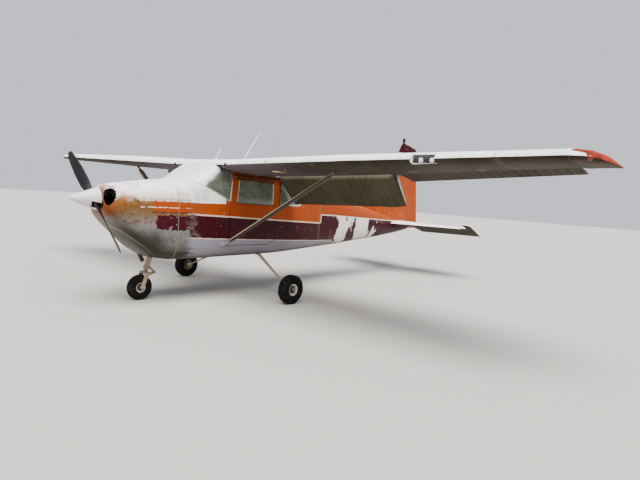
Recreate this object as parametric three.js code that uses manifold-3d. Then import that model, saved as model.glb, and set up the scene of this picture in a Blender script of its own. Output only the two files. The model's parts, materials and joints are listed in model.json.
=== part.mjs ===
// Light aircraft: strut-braced high wing, four seats, fixed tricycle gear, parked with its flaps down.
// Millimetres and degrees. +X points aft, +Y to starboard, +Z up, and the tyres stand on z = 0.
// Inside the airframe group x counts from the firewall. The group then moves the whole aircraft so that
// the origin lies on the ground, halfway between spinner tip and rudder.
import * as THREE from "three";
import { mergeVertices } from "three/addons/utils/BufferGeometryUtils.js";
import Module from "manifold-3d";

const wasm = await Module();
wasm.setup();

const rad = THREE.MathUtils.degToRad;
const lerp = THREE.MathUtils.lerp;

// Clearances
const SEAT = 0.3; // between pieces that touch
const DOOR_GAP = 8; // round a door in its frame
const SURFACE_GAP = 8; // between a control surface and what it hangs on

// Fuselage stations along x
const NOSE = { front: -880, split: -700, splitZ: 1240, wall: 10 };
const CABIN = { front: 0, rear: 2950, wall: 30, glassDepth: 8, glass: 6 };
const TAIL = { rear: 6600, wall: 6 };
const PLATE = 8; // firewall and rear bulkhead
const RING_POINTS = 28;

// Outer skin of the fuselage: x, half width, bottom, top, squareness of the section
const FUSELAGE = [
  [-880, 250, 1235, 1545, 2.4],
  [-862, 305, 1195, 1568, 2.5],
  [-830, 352, 1140, 1588, 2.7],
  [-770, 402, 1075, 1602, 2.9],
  [-600, 455, 920, 1628, 3.2],
  [-400, 482, 740, 1658, 3.5],
  [-200, 502, 618, 1688, 3.8],
  [0, 520, 588, 1714, 4.2],
  [220, 530, 586, 1740, 4.6],
  [450, 538, 586, 1905, 5.0],
  [680, 540, 587, 2058, 5.0],
  [900, 540, 590, 2070, 5.0],
  [1900, 538, 600, 2050, 5.0],
  [2270, 525, 615, 1925, 4.6],
  [2950, 470, 650, 1835, 4.0],
  [3700, 385, 684, 1662, 3.4],
  [4400, 305, 738, 1510, 3.0],
  [5200, 225, 796, 1374, 2.8],
  [6000, 150, 876, 1234, 2.6],
  [6600, 85, 952, 1160, 2.4],
];

// Wing, measured in the frame of its panel: x as above, y out from the root, z up from the root's nose
const WING = {
  rootY: 550,
  rootX: 640,
  rootZ: 1985,
  dihedral: 1.6,
  rootChord: 1630,
  tipChord: 1120,
  tipSweep: 100,
  taperFrom: 2000,
  panelEnd: 4650,
  capEnd: 4912,
  incidence: 3.3,
  tipIncidence: 1.0,
  thickness: 0.12,
  camber: 0.02,
  rootGap: 3.6,
};
const FLAP = { from: 20, to: 2200, nose: 0.66, deflection: 46, pivotDrop: 160, pivotAhead: 72, endGap: 8 };
// The flap's rollers run in a curved slot beside each of its ends
const TRACK = { halfWidth: 17, slot: 6.1, roller: 5.7, rollerStep: rad(8), slotEnd: rad(2.6), step: rad(4), width: 16 };
// The ailerons stand as in the photo: left one down, right one up
const AILERON = { from: 2266, to: 4554, nose: 0.74, endGap: 6, pinReach: 4.8, leftDown: 14, rightUp: 17 };
const AIRFOIL_STEPS = 9;

// Tail
const STAB = { halfSpan: 1600, rootX: 5670, slope: 0.36, z: 1110, thickness: 0.085 };
const TAIL_WALL = 5; // skin of stabilizer and fin
const ELEVATOR = {
  hingeX: 6520,
  rootY: 150,
  halfSpan: 1785,
  rootChord: 520,
  tipChord: 440,
  rootRadius: 36,
  tipRadius: 20,
  hornFrom: 1625,
  hornReach: 260,
  droop: 22,
  rudderSweep: 0.22,
  tube: 22,
};
const FIN = { baseX: 5300, baseZ: 1350, topX: 6210, topZ: 2960, thickness: 0.085 };
const TAIL_TOP = { slopeFrom: 6312, slope: 9 }; // the top of fin and rudder falls aft
const BEACON = { x: 6284, base: 24, lens: 36, lensTop: 29, height: 115 };
const RUDDER = {
  baseX: 6665,
  baseZ: 985,
  topX: 6545,
  topZ: 2930,
  baseR: 36,
  topR: 20,
  baseTail: 465,
  topTail: 285,
  round: 70,
};
const RUDDER_HINGES = [1700, 2500];

// Landing gear
const MAIN = { x: 1410, y: 1350, radius: 218, width: 156, rim: 88, axle: 20 };
const NOSE_WHEEL = { x: -262, radius: 178, width: 122, rim: 72, axle: 14 };
const WHEEL_SEGMENTS = 32;
const NOSE_LEG = { topX: -115, topZ: 620, footX: -235, footZ: 205, sleeveEnd: 425, sleeve: 38, piston: 26 };

// Propeller
const PROP = { x: -950, z: 1400, radius: 975, angle: 38, hub: 62, backX: -900, backPlate: 8, shaft: 45 };
const SPINNER = { tip: -1260, base: -900.3, radius: 150, wall: 4, power: 0.75 };
const ENGINE = { front: -640, rear: -40, halfWidth: 350, bottom: 1150, top: 1515 };

const PAINT = {
  white: 0xe6e4df,
  orange: 0xc65a24,
  maroon: 0x3c1420,
  grey: 0xb9b7b1,
  cream: 0xd8cfb4,
  bare: 0xb4b0aa,
  dark: 0x2a2a2c,
  rubber: 0x1b1b1c,
  glass: 0x66706a,
  seat: 0x6d5a4a,
  steel: 0x8c8c8c,
  red: 0x8a2a20,
};

// Solids

function solidOf(geometry) {
  const plain = geometry.index ? geometry.clone() : geometry;
  for (const name of Object.keys(plain.attributes)) {
    if (name !== "position") plain.deleteAttribute(name);
  }
  const merged = mergeVertices(plain, 1e-3);
  const vertProperties = new Float32Array(merged.attributes.position.array);
  const triVerts = new Uint32Array(merged.index.array);
  return new wasm.Manifold(new wasm.Mesh({ numProp: 3, vertProperties, triVerts }));
}

function geometryOf(solid) {
  const mesh = solid.getMesh();
  const geometry = new THREE.BufferGeometry();
  geometry.setAttribute("position", new THREE.BufferAttribute(new Float32Array(mesh.vertProperties), 3));
  geometry.setIndex(new THREE.BufferAttribute(new Uint32Array(mesh.triVerts), 1));
  const faceted = geometry.toNonIndexed();
  faceted.computeVertexNormals();
  return faceted;
}

function signedVolume(points, faces) {
  const [a, b, c] = [new THREE.Vector3(), new THREE.Vector3(), new THREE.Vector3()];
  let volume = 0;
  for (const [i, j, k] of faces) {
    a.set(...points[i]);
    b.set(...points[j]);
    c.set(...points[k]);
    volume += a.dot(b.cross(c)) / 6;
  }
  return volume;
}

// A closed solid through rings of equal length, each a list of [x, y, z]
function loft(rings) {
  const count = rings[0].length;
  const points = rings.flat();
  const faces = [];
  for (let r = 0; r + 1 < rings.length; r++) {
    for (let i = 0; i < count; i++) {
      const a = r * count + i;
      const b = r * count + ((i + 1) % count);
      faces.push([a, b, b + count], [a, b + count, a + count]);
    }
  }
  capRing(points, faces, rings[0], 0, true);
  capRing(points, faces, rings.at(-1), (rings.length - 1) * count, false);
  if (signedVolume(points, faces) < 0) faces.forEach((face) => face.reverse());
  const geometry = new THREE.BufferGeometry();
  geometry.setAttribute("position", new THREE.Float32BufferAttribute(points.flat(), 3));
  geometry.setIndex(faces.flat());
  return solidOf(geometry);
}

function capRing(points, faces, ring, start, first) {
  const middle = [0, 1, 2].map((axis) => ring.reduce((sum, p) => sum + p[axis], 0) / ring.length);
  const centre = points.push(middle) - 1;
  for (let i = 0; i < ring.length; i++) {
    const a = start + i;
    const b = start + ((i + 1) % ring.length);
    faces.push(first ? [centre, b, a] : [centre, a, b]);
  }
}

function box(x0, x1, y0, y1, z0, z1) {
  const geometry = new THREE.BoxGeometry(x1 - x0, y1 - y0, z1 - z0);
  return solidOf(geometry.translate((x0 + x1) / 2, (y0 + y1) / 2, (z0 + z1) / 2));
}

// A round bar or cone between two points
function rod(from, to, radius, endRadius = radius, segments = 14) {
  const start = new THREE.Vector3(...from);
  const end = new THREE.Vector3(...to);
  const along = end.clone().sub(start);
  const geometry = new THREE.CylinderGeometry(endRadius, radius, along.length(), segments);
  geometry.applyQuaternion(
    new THREE.Quaternion().setFromUnitVectors(new THREE.Vector3(0, 1, 0), along.clone().normalize()),
  );
  return solidOf(geometry.translate(...start.add(end).multiplyScalar(0.5).toArray()));
}

// An outline in side view, as [x, z] pairs, run across the aircraft from y0 to y1
function sidePrism(outline, y0, y1) {
  const shape = new THREE.Shape(outline.map(([x, z]) => new THREE.Vector2(x, z)));
  const geometry = new THREE.ExtrudeGeometry(shape, { depth: y1 - y0, bevelEnabled: false });
  geometry.applyMatrix4(new THREE.Matrix4().set(1, 0, 0, 0, 0, 0, -1, y1, 0, 1, 0, 0, 0, 0, 0, 1));
  return solidOf(geometry);
}

// A profile of [radius, x] pairs turned about the x axis
function turned(profile, segments = 32) {
  const geometry = new THREE.LatheGeometry(
    profile.map(([r, x]) => new THREE.Vector2(r, x)),
    segments,
  );
  return solidOf(geometry.rotateZ(-Math.PI / 2));
}

// The same solid on the other side of the aircraft
function mirrored(solid) {
  const mesh = solid.getMesh();
  const vertProperties = new Float32Array(mesh.vertProperties);
  for (let i = 1; i < vertProperties.length; i += 3) vertProperties[i] *= -1;
  const triVerts = new Uint32Array(mesh.triVerts).reverse();
  return new wasm.Manifold(new wasm.Mesh({ numProp: 3, vertProperties, triVerts }));
}

const join = (first, ...others) => others.reduce((sum, other) => sum.add(other), first);
const cut = (first, ...others) => others.reduce((rest, other) => rest.subtract(other), first);
const common = (first, ...others) => others.reduce((rest, other) => rest.intersect(other), first);
const onSide = (side, solid) => (side > 0 ? solid : mirrored(solid));
const SIDES = [
  [-1, "left"],
  [1, "right"],
];

// An outline moved outward by a distance, for frames and clearances. It runs counter-clockwise.
function grown(outline, distance) {
  return outline.map((point, i) => {
    const before = outline.at(i - 1);
    const after = outline[(i + 1) % outline.length];
    const normal = ([x0, z0], [x1, z1]) => {
      const length = Math.hypot(x1 - x0, z1 - z0);
      return [(z1 - z0) / length, -(x1 - x0) / length];
    };
    const [ax, az] = normal(before, point);
    const [bx, bz] = normal(point, after);
    const scale = distance / (1 + ax * bx + az * bz);
    return [point[0] + (ax + bx) * scale, point[1] + (az + bz) * scale];
  });
}

const materials = new Map();
function finish(colour, roughness = 0.5, metalness = 0) {
  const key = `${colour} ${roughness} ${metalness}`;
  if (!materials.has(key)) {
    materials.set(key, new THREE.MeshStandardMaterial({ color: colour, roughness, metalness }));
  }
  return materials.get(key);
}

function addPiece(parent, name, solid, material) {
  const mesh = new THREE.Mesh(geometryOf(solid), material);
  mesh.name = name;
  parent.add(mesh);
  return mesh;
}

// Fuselage

function fuselageAt(x) {
  const next = Math.max(1, FUSELAGE.findIndex((row) => row[0] >= x));
  const [low, high] = [FUSELAGE[next - 1], FUSELAGE[next]];
  const share = (x - low[0]) / (high[0] - low[0]);
  return low.map((value, i) => lerp(value, high[i], share));
}

function sectionRing([x, halfWidth, bottom, top, squareness], inset) {
  const middle = (bottom + top) / 2;
  const halfHeight = (top - bottom) / 2 - inset;
  const bend = (value) => Math.sign(value) * Math.abs(value) ** (2 / squareness);
  return Array.from({ length: RING_POINTS }, (_, i) => {
    const angle = (2 * Math.PI * (i + 0.5)) / RING_POINTS;
    return [x, (halfWidth - inset) * bend(Math.cos(angle)), middle + halfHeight * bend(Math.sin(angle))];
  });
}

// The fuselage between two stations, its skin moved inward by an inset
function hull(from, to, inset = 0) {
  const rows = FUSELAGE.filter(([x]) => x > from + 1 && x < to - 1);
  return loft([fuselageAt(from), ...rows, fuselageAt(to)].map((row) => sectionRing(row, inset)));
}

// A skin open at both ends
function skin(from, to, wall, inset = 0) {
  const bore = loft(
    [from - 1, ...FUSELAGE.map(([x]) => x).filter((x) => x > from + 1 && x < to - 1), to + 1].map((x) =>
      sectionRing([x, ...fuselageAt(Math.min(Math.max(x, from), to)).slice(1)], inset + wall),
    ),
  );
  return cut(hull(from, to, inset), bore);
}

// Side views of the openings, counter-clockwise
const WINDSHIELD = [
  [190, 1738],
  [845, 1450],
  [880, 1800],
  [895, 2200],
  [190, 2200],
];
const DOOR = [
  [860, 800],
  [1700, 790],
  [1790, 880],
  [1790, 1840],
  [925, 1852],
  [860, 1450],
];
const DOOR_WINDOW = [
  [960, 1432],
  [1740, 1412],
  [1740, 1772],
  [1000, 1800],
];
// Door hinges: the pin's line lies just outside the skin, between post and door
const HINGE = { x: 856, y: 547.5, radius: 7, tab: 22, height: 56, heights: [900, 1300] };
const REAR_WINDOW = [
  [1865, 1412],
  [2385, 1412],
  [2435, 1470],
  [2270, 1770],
  [1865, 1790],
];

function wingRing(y, from, to) {
  const share = Math.max(0, (y - WING.taperFrom) / (WING.panelEnd - WING.taperFrom));
  const chord = lerp(WING.rootChord, WING.tipChord, share);
  const twist = rad(lerp(WING.incidence, WING.tipIncidence, Math.max(0, y) / WING.panelEnd));
  const noseX = WING.rootX + WING.tipSweep * share;
  const place = ([along, up]) => [
    noseX + chord * (along * Math.cos(twist) + up * Math.sin(twist)),
    y,
    chord * (up * Math.cos(twist) - along * Math.sin(twist)),
  ];
  return airfoil(from, to, WING.thickness, WING.camber).map(place);
}

// Cambered airfoil of unit chord between two fractions of it, as [along, up] pairs
function airfoil(from, to, thickness, camber) {
  const peak = 0.4;
  const halfThickness = (x) =>
    5 * thickness * (0.2969 * Math.sqrt(x) - 0.126 * x - 0.3516 * x ** 2 + 0.2843 * x ** 3 - 0.1 * x ** 4);
  const meanLine = (x) =>
    x < peak
      ? (camber / peak ** 2) * (2 * peak * x - x ** 2)
      : (camber / (1 - peak) ** 2) * (1 - 2 * peak + 2 * peak * x - x ** 2);
  const fractions = Array.from({ length: AIRFOIL_STEPS + 1 }, (_, i) => {
    const even = i / AIRFOIL_STEPS;
    return from + (to - from) * (from < 0.01 ? even ** 1.8 : even);
  });
  const blunt = 0.0015;
  const upper = fractions.map((x) => [x, meanLine(x) + halfThickness(x) + blunt]);
  const lower = fractions.map((x) => [x, meanLine(x) - halfThickness(x) - blunt]);
  return [...upper, ...lower.reverse()];
}

// The wing's middle lies over the cabin as its roof, in the same section as the wing's root
function roofSection() {
  return wingRing(0, 0, 1).map(([x, , z]) => [x, z + WING.rootZ]);
}

function roof(raised = 0) {
  const ring = (y) => roofSection().map(([x, z]) => [x, y, z + raised]);
  return loft([ring(-WING.rootY), ring(WING.rootY)]);
}

// Everything above the roof's underside, which the cabin's walls stop below
function aboveWalls() {
  const section = roofSection();
  const lower = section.slice(section.length / 2).reverse();
  const noseX = WING.rootX;
  const tailX = Math.max(...section.map(([x]) => x));
  const under = lower.map(([x, z]) => [x, z - SEAT]);
  const far = 2400;
  const outline = [[noseX - SEAT, section[0][1]], ...under, [tailX + SEAT, lower.at(-1)[1] - SEAT]];
  return sidePrism([...outline, [tailX + SEAT, far], [noseX - SEAT, far]], -700, 700);
}

const ACROSS = 900;
const sideCut = (outline, side) => (side > 0 ? sidePrism(outline, 60, ACROSS) : sidePrism(outline, -ACROSS, -60));

function cabinShell() {
  const shell = skin(CABIN.front, CABIN.rear, CABIN.wall);
  const openings = SIDES.flatMap(([side]) => [
    sideCut(grown(DOOR, DOOR_GAP), side),
    sideCut(grown(REAR_WINDOW, SEAT), side),
  ]);
  return cut(shell, aboveWalls(), sidePrism(grown(WINDSHIELD, SEAT), -ACROSS, ACROSS), ...openings);
}

function pane(outline) {
  return common(skin(100, CABIN.rear, CABIN.glass, CABIN.glassDepth), outline);
}

function door(side) {
  const panel = common(skin(500, 2200, CABIN.wall), sideCut(DOOR, side));
  const knuckles = HINGE.heights.map((z) => hingeLeaf(side, z + HINGE.height / 2 + SEAT, 1));
  return join(cut(panel, sideCut(grown(DOOR_WINDOW, SEAT), side)), ...knuckles);
}

// Half a door hinge: its knuckle on the pin's line, and a tab forward to the post or aft to the door
function hingeLeaf(side, z, aft) {
  const { x, y, radius, tab, height } = HINGE;
  const top = z + height / 2 - SEAT;
  const knuckle = rod([x, side * y, z], [x, side * y, top], radius, undefined, 12);
  const [y0, y1] = [side * (y - 26), side * (y + 4)].sort((a, b) => a - b);
  return join(knuckle, box(Math.min(x, x + aft * tab), Math.max(x, x + aft * tab), y0, y1, z, top));
}

function buildFuselage(airframe) {
  const bare = finish(PAINT.bare, 0.45, 0.3);
  const white = finish(PAINT.white, 0.4);
  const orange = finish(PAINT.orange, 0.45);
  const glass = finish(PAINT.glass, 0.1);
  const cowlRear = CABIN.front - PLATE - 2 * SEAT;
  const cowl = skin(NOSE.split + SEAT, cowlRear, NOSE.wall);
  const above = box(-1000, 100, -ACROSS, ACROSS, NOSE.splitZ + SEAT / 2, 2000);
  const below = box(-1000, 100, -ACROSS, ACROSS, 0, NOSE.splitZ - SEAT / 2);
  addPiece(airframe, "nose_bowl", noseBowl(), bare);
  addPiece(airframe, "cowl_upper", common(cowl, above), white);
  addPiece(airframe, "cowl_lower", cut(common(cowl, below), noseLegHole()), bare);
  addPiece(airframe, "firewall", hull(cowlRear + SEAT, CABIN.front - SEAT), bare);
  addPiece(airframe, "engine_block", engineBlock(), finish(PAINT.steel, 0.6, 0.5));
  addPiece(airframe, "cabin_shell", join(cabinShell(), ...fuselageLugs()), orange);
  addPiece(airframe, "cabin_roof", roof(), white);
  addPiece(airframe, "cabin_floor", cabinFloor(), finish(PAINT.dark, 0.8));
  addPiece(airframe, "windshield", cut(pane(sidePrism(WINDSHIELD, -ACROSS, ACROSS)), aboveWalls()), glass);
  for (const [side, word] of SIDES) {
    addPiece(airframe, `door_${word}`, door(side), orange);
    addPiece(airframe, `door_glass_${word}`, pane(sideCut(DOOR_WINDOW, side)), glass);
    addPiece(airframe, `rear_window_${word}`, pane(sideCut(REAR_WINDOW, side)), glass);
  }
  addPiece(airframe, "rear_bulkhead", hull(CABIN.rear + SEAT, CABIN.rear + PLATE), bare);
  addPiece(airframe, "tail_cone", tailCone(), finish(PAINT.maroon, 0.5));
}

function noseBowl() {
  const outer = hull(NOSE.front, NOSE.split);
  const inner = hull(NOSE.front + NOSE.wall, NOSE.split + 1, NOSE.wall);
  const shaftHole = rod([-1000, 0, PROP.z], [-600, 0, PROP.z], PROP.shaft + SURFACE_GAP, undefined, 20);
  const inlets = SIDES.map(([side]) => inlet(side));
  return cut(outer, inner, shaftHole, ...inlets);
}

function inlet(side) {
  const [halfWidth, halfHeight, y, z] = [116, 112, 236, 1438];
  const ring = (x) =>
    Array.from({ length: 16 }, (_, i) => {
      const angle = (2 * Math.PI * i) / 16;
      return [x, side * y + halfWidth * Math.cos(angle), z + halfHeight * Math.sin(angle)];
    });
  return loft([ring(-1000), ring(NOSE.front + 9 * NOSE.wall)]);
}

function engineBlock() {
  const { front, rear, halfWidth, bottom, top } = ENGINE;
  const block = box(front, rear, -halfWidth, halfWidth, bottom, top);
  const mount = box(rear - 1, CABIN.front - PLATE - 2 * SEAT, -150, 150, 1250, 1450);
  return join(block, mount);
}

function cabinFloor() {
  return common(box(30, 2900, -600, 600, 715, 735), hull(10, CABIN.rear - 10, CABIN.wall + SEAT));
}

function tailCone() {
  const cone = skin(CABIN.rear + PLATE + SEAT, TAIL.rear, TAIL.wall);
  const bearing = ELEVATOR.tube + 3 * SEAT;
  const tubeHole = rod([ELEVATOR.hingeX, -300, STAB.z], [ELEVATOR.hingeX, 300, STAB.z], bearing, undefined, 24);
  return cut(cone, stabilizerSolid(2 * SEAT), tubeHole);
}

// Wings

// A control surface between two hinge points: round nose on the hinge line, flat sides to a thin tail
function surfaceRing([x, y, z], radius, tailX, tailZ, skew = 0) {
  const droop = Math.atan2(tailZ - z, tailX - x);
  const nose = Array.from({ length: 9 }, (_, i) => {
    const angle = Math.PI / 2 + (Math.PI * i) / 8 + droop;
    return [x + radius * Math.cos(angle), y, z + radius * Math.sin(angle)];
  });
  const half = 3;
  const tail = [
    [tailX, y, tailZ - half],
    [tailX, y, tailZ + half],
  ];
  return [...nose, ...tail].map(([px, py, pz]) => [px, py + skew * Math.max(0, px - x), pz]);
}

function wingSurfaceRing(y, nose) {
  const [top, bottom] = [wingRing(y, nose, 1)[0], wingRing(y, nose, 1).at(-1)];
  const tail = wingRing(y, nose, 1)[AIRFOIL_STEPS];
  const radius = (top[2] - bottom[2]) / 2;
  const hinge = [(top[0] + bottom[0]) / 2 + radius, y, (top[2] + bottom[2]) / 2 - 2];
  return { hinge, radius, ring: surfaceRing(hinge, radius - 2, tail[0], tail[2] - 3) };
}

function flapPivot() {
  const { hinge } = wingSurfaceRing(FLAP.from, FLAP.nose);
  return [hinge[0] - FLAP.pivotAhead, 0, hinge[2] - FLAP.pivotDrop];
}

function wingPanel() {
  const inner = loft([wingRing(0, 0, FLAP.nose - 0.005), wingRing(WING.taperFrom, 0, FLAP.nose - 0.005)]);
  const middleEnd = AILERON.from - 36;
  const middle = loft([
    wingRing(WING.taperFrom - 1, 0, FLAP.nose - 0.005),
    wingRing(middleEnd, 0, FLAP.nose - 0.005),
  ]);
  const outer = loft([
    wingRing(middleEnd - 1, 0, AILERON.nose - 0.007),
    wingRing(WING.panelEnd, 0, AILERON.nose - 0.007),
  ]);
  const ribs = [
    [FLAP.to + SEAT, AILERON.from - AILERON.endGap],
    [AILERON.to + AILERON.endGap, WING.panelEnd],
  ].map(([from, to]) => loft([wingRing(from, 0.1, 1), wingRing(to, 0.1, 1)]));
  const rootTrim = box(0, 3000, -100, WING.rootGap, -500, 500);
  const panel = join(inner, middle, outer, ...ribs, ...flapTracks(), strutLugUpper());
  return cut(panel, rootTrim, ...flapSlots());
}

// The circle about the flap's turning point on which its rollers lie at one end, and their place when it is up
function rollerArc(y) {
  const [px, , pz] = flapPivot();
  const { hinge } = wingSurfaceRing(y, FLAP.nose);
  return { radius: Math.hypot(hinge[0] - px, hinge[2] - pz), angle: Math.atan2(hinge[2] - pz, hinge[0] - px) };
}

function arcBand(radius, halfWidth, from, to, y0, y1) {
  const [px, , pz] = flapPivot();
  const steps = Math.ceil((to - from) / TRACK.step);
  const arc = (r) =>
    Array.from({ length: steps + 1 }, (_, i) => {
      const angle = lerp(from, to, i / steps);
      return [px + r * Math.cos(angle), pz + r * Math.sin(angle)];
    });
  return sidePrism([...arc(radius + halfWidth), ...arc(radius - halfWidth).reverse()], y0, y1);
}

// Where the tracks lie across the panel, beside the flap's two ends
const TRACK_SPANS = [
  [WING.rootGap, FLAP.from - SEAT, FLAP.from],
  [FLAP.to + SEAT, FLAP.to + SEAT + TRACK.width, FLAP.to],
];

function flapTracks() {
  return TRACK_SPANS.map(([y0, y1, flapEnd]) => {
    const { radius, angle } = rollerArc(flapEnd);
    const down = angle - rad(FLAP.deflection) - TRACK.rollerStep;
    const band = arcBand(radius, TRACK.halfWidth, down - 3 * TRACK.slotEnd, angle + rad(15), y0, y1);
    const [px, , pz] = flapPivot();
    const x = px + radius * Math.cos(angle + rad(13));
    const z = pz + radius * Math.sin(angle + rad(13));
    return join(band, box(x - 70, x + 6, y0, y1, z - 22, z - 4));
  });
}

function flapSlots() {
  return TRACK_SPANS.map(([y0, y1, flapEnd]) => {
    const { radius, angle } = rollerArc(flapEnd);
    const down = angle - rad(FLAP.deflection) - TRACK.rollerStep;
    return arcBand(radius, TRACK.slot, down - TRACK.slotEnd, angle + TRACK.slotEnd, y0 - 1, y1 + SEAT);
  });
}

// Two rollers stand out from each end of the flap. It is built up, then lowered.
function flap() {
  const ends = [FLAP.from + FLAP.endGap, WING.taperFrom, FLAP.to - FLAP.endGap];
  const blade = loft(ends.map((y) => wingSurfaceRing(y, FLAP.nose).ring));
  const [px, , pz] = flapPivot();
  const rollers = [
    [FLAP.from, -1],
    [FLAP.to, 1],
  ].flatMap(([y, outward]) => {
    const { radius, angle } = rollerArc(y);
    return [angle, angle - TRACK.rollerStep].map((at) => {
      const [x, z] = [px + radius * Math.cos(at), pz + radius * Math.sin(at)];
      return rod([x, y - outward * 40, z], [x, y + outward * (TRACK.width - 2), z], TRACK.roller);
    });
  });
  const geometry = geometryOf(join(blade, ...rollers));
  geometry.translate(-px, 0, -pz);
  geometry.rotateY(rad(FLAP.deflection));
  geometry.translate(px, 0, pz);
  return solidOf(geometry);
}

// The aileron turns on a pin at each end, which reaches the rib beside it. It is built level, then turned.
function aileron(lowered) {
  const ends = [AILERON.from, AILERON.to];
  const [inner, outer] = ends.map((y) => wingSurfaceRing(y, AILERON.nose).hinge);
  const reach = (end, other) => {
    const along = new THREE.Vector3(...end).sub(new THREE.Vector3(...other)).normalize();
    return [
      new THREE.Vector3(...end).addScaledVector(along, AILERON.pinReach).toArray(),
      new THREE.Vector3(...end).addScaledVector(along, -20).toArray(),
    ];
  };
  const pins = [reach(inner, outer), reach(outer, inner)].map(([from, to]) => rod(from, to, 6));
  const level = join(loft(ends.map((y) => wingSurfaceRing(y, AILERON.nose).ring)), ...pins);
  const axis = new THREE.Vector3(...outer).sub(new THREE.Vector3(...inner)).normalize();
  const turn = new THREE.Quaternion().setFromAxisAngle(axis, rad(lowered));
  const geometry = geometryOf(level);
  geometry.translate(...inner.map((v) => -v));
  geometry.applyQuaternion(turn);
  geometry.translate(...inner);
  return solidOf(geometry);
}

// The tip cap curves down and back from the panel's end
function tipCap() {
  // Share of the way out, chord left, nose moved back, dropped, thickness left
  const rows = [
    [0.0, 1.0, 0, 0, 1.0],
    [0.45, 0.93, 45, -6, 0.88],
    [0.8, 0.76, 150, -22, 0.6],
    [1.0, 0.5, 330, -42, 0.22],
  ];
  const base = wingRing(WING.panelEnd, 0, 1);
  const [noseX, , noseZ] = base[0];
  return loft(
    rows.map(([out, chord, back, drop, thick]) => {
      const y = lerp(WING.panelEnd + SEAT, WING.capEnd, out);
      return base.map(([x, , z]) => [noseX + back + (x - noseX) * chord, y, noseZ + drop + (z - noseZ) * thick]);
    }),
  );
}

// Lift strut: streamlined bar from the front door post's foot to the wing

const STRUT = { foot: [800, 556, 826], head: [1002, 2450, 1952], chord: 104, thick: 44, lug: 90, into: 60 };

function strutFrame() {
  const foot = new THREE.Vector3(...STRUT.foot);
  const head = new THREE.Vector3(...STRUT.head);
  const along = head.clone().sub(foot).normalize();
  const aft = new THREE.Vector3(1, 0, 0).addScaledVector(along, -along.x).normalize();
  const up = new THREE.Vector3().crossVectors(along, aft);
  return { foot, head, along, aft, up };
}

function strutRing(frame, base, distance, chord, thick) {
  const centre = base.clone().addScaledVector(frame.along, distance);
  return Array.from({ length: 12 }, (_, i) => {
    const angle = (2 * Math.PI * i) / 12;
    const across = Math.sin(angle) * (Math.cos(angle) < 0 ? 1 : 1 - 0.35 * Math.cos(angle));
    const point = centre
      .clone()
      .addScaledVector(frame.aft, (chord / 2) * Math.cos(angle))
      .addScaledVector(frame.up, (thick / 2) * across);
    return point.toArray();
  });
}

function strut() {
  const frame = strutFrame();
  const length = frame.head.distanceTo(frame.foot);
  const { chord, thick, lug } = STRUT;
  const sections = [
    [lug, 50, 30],
    [lug + 70, chord, thick],
    [length - lug - 70, chord, thick],
    [length - lug, 50, 30],
  ];
  return loft(sections.map(([at, wide, deep]) => strutRing(frame, frame.foot, at, wide, deep)));
}

function strutLugLower() {
  const frame = strutFrame();
  const sections = [-STRUT.into, STRUT.lug - SEAT];
  return loft(sections.map((at) => strutRing(frame, frame.foot, at, 50, 30)));
}

function strutLugUpper() {
  const frame = strutFrame();
  const sections = [-STRUT.lug + SEAT, STRUT.into];
  const lug = loft(sections.map((at) => strutRing(frame, frame.head, at, 50, 30)));
  const toPanel = new THREE.Matrix4()
    .makeRotationX(-rad(WING.dihedral))
    .multiply(new THREE.Matrix4().makeTranslation(0, -WING.rootY, -WING.rootZ));
  return solidOf(geometryOf(lug).applyMatrix4(toPanel));
}

// Windows of the two landing lights in the left wing's leading edge
const LIGHT = { from: 3116, to: 3400, depth: 75 };

function lightBox(gap) {
  const noseX = wingRing((LIGHT.from + LIGHT.to) / 2, 0, 1)[0][0];
  return box(noseX - 60, noseX + LIGHT.depth + gap, LIGHT.from - gap, LIGHT.to + gap, -200, 200);
}

function buildWings(airframe) {
  const white = finish(PAINT.white, 0.4);
  for (const [side, word] of SIDES) {
    const panel = new THREE.Group();
    panel.position.set(0, side * WING.rootY, WING.rootZ);
    panel.rotation.x = side * rad(WING.dihedral);
    airframe.add(panel);
    const wing = side < 0 ? cut(wingPanel(), lightBox(SEAT)) : wingPanel();
    addPiece(panel, `wing_${word}`, onSide(side, wing), white);
    addPiece(panel, `wing_tip_${word}`, onSide(side, tipCap()), finish(PAINT.red, 0.5));
    addPiece(panel, `flap_${word}`, onSide(side, flap()), white);
    const lowered = side < 0 ? AILERON.leftDown : -AILERON.rightUp;
    addPiece(panel, `aileron_${word}`, onSide(side, aileron(lowered)), white);
    addPiece(airframe, `strut_${word}`, onSide(side, strut()), finish(PAINT.cream, 0.5));
    if (side < 0) {
      const lens = common(loft([wingRing(LIGHT.from - 50, 0, 0.3), wingRing(LIGHT.to + 50, 0, 0.3)]), lightBox(0));
      addPiece(panel, "landing_light", onSide(side, lens), finish(PAINT.glass, 0.1));
      addPiece(panel, "pitot_tube", onSide(side, pitot()), finish(PAINT.steel, 0.4, 0.6));
    }
  }
}

// A mast under the wing that carries a forward tube
function pitot() {
  const y = 1190;
  const [x, , under] = wingRing(y, 0.08, 1).at(-1);
  const z = under - 58;
  const mast = rod([x, y, under - 1.6], [x, y, z], 9);
  return join(mast, rod([x + 26, y, z], [x - 215, y, z], 10));
}

// Tail

// The stabilizer's outer form, grown or, with a negative value, shrunk
function stabilizerSolid(grow) {
  const ring = (y) => {
    const noseX = STAB.rootX + STAB.slope * Math.abs(y) - grow;
    const chord = (ELEVATOR.hingeX - noseX) / 0.62;
    const radius = lerp(ELEVATOR.rootRadius, ELEVATOR.tipRadius, Math.abs(y) / STAB.halfSpan);
    const rear = (ELEVATOR.hingeX - radius - SURFACE_GAP + grow - noseX) / chord;
    return airfoil(0, rear, STAB.thickness + (2 * grow) / chord, 0).map(([along, up]) => [
      noseX + chord * along,
      y,
      STAB.z + chord * up,
    ]);
  };
  const end = STAB.halfSpan + Math.min(0, grow);
  return loft([-end, 0, end].map(ring));
}

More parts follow.
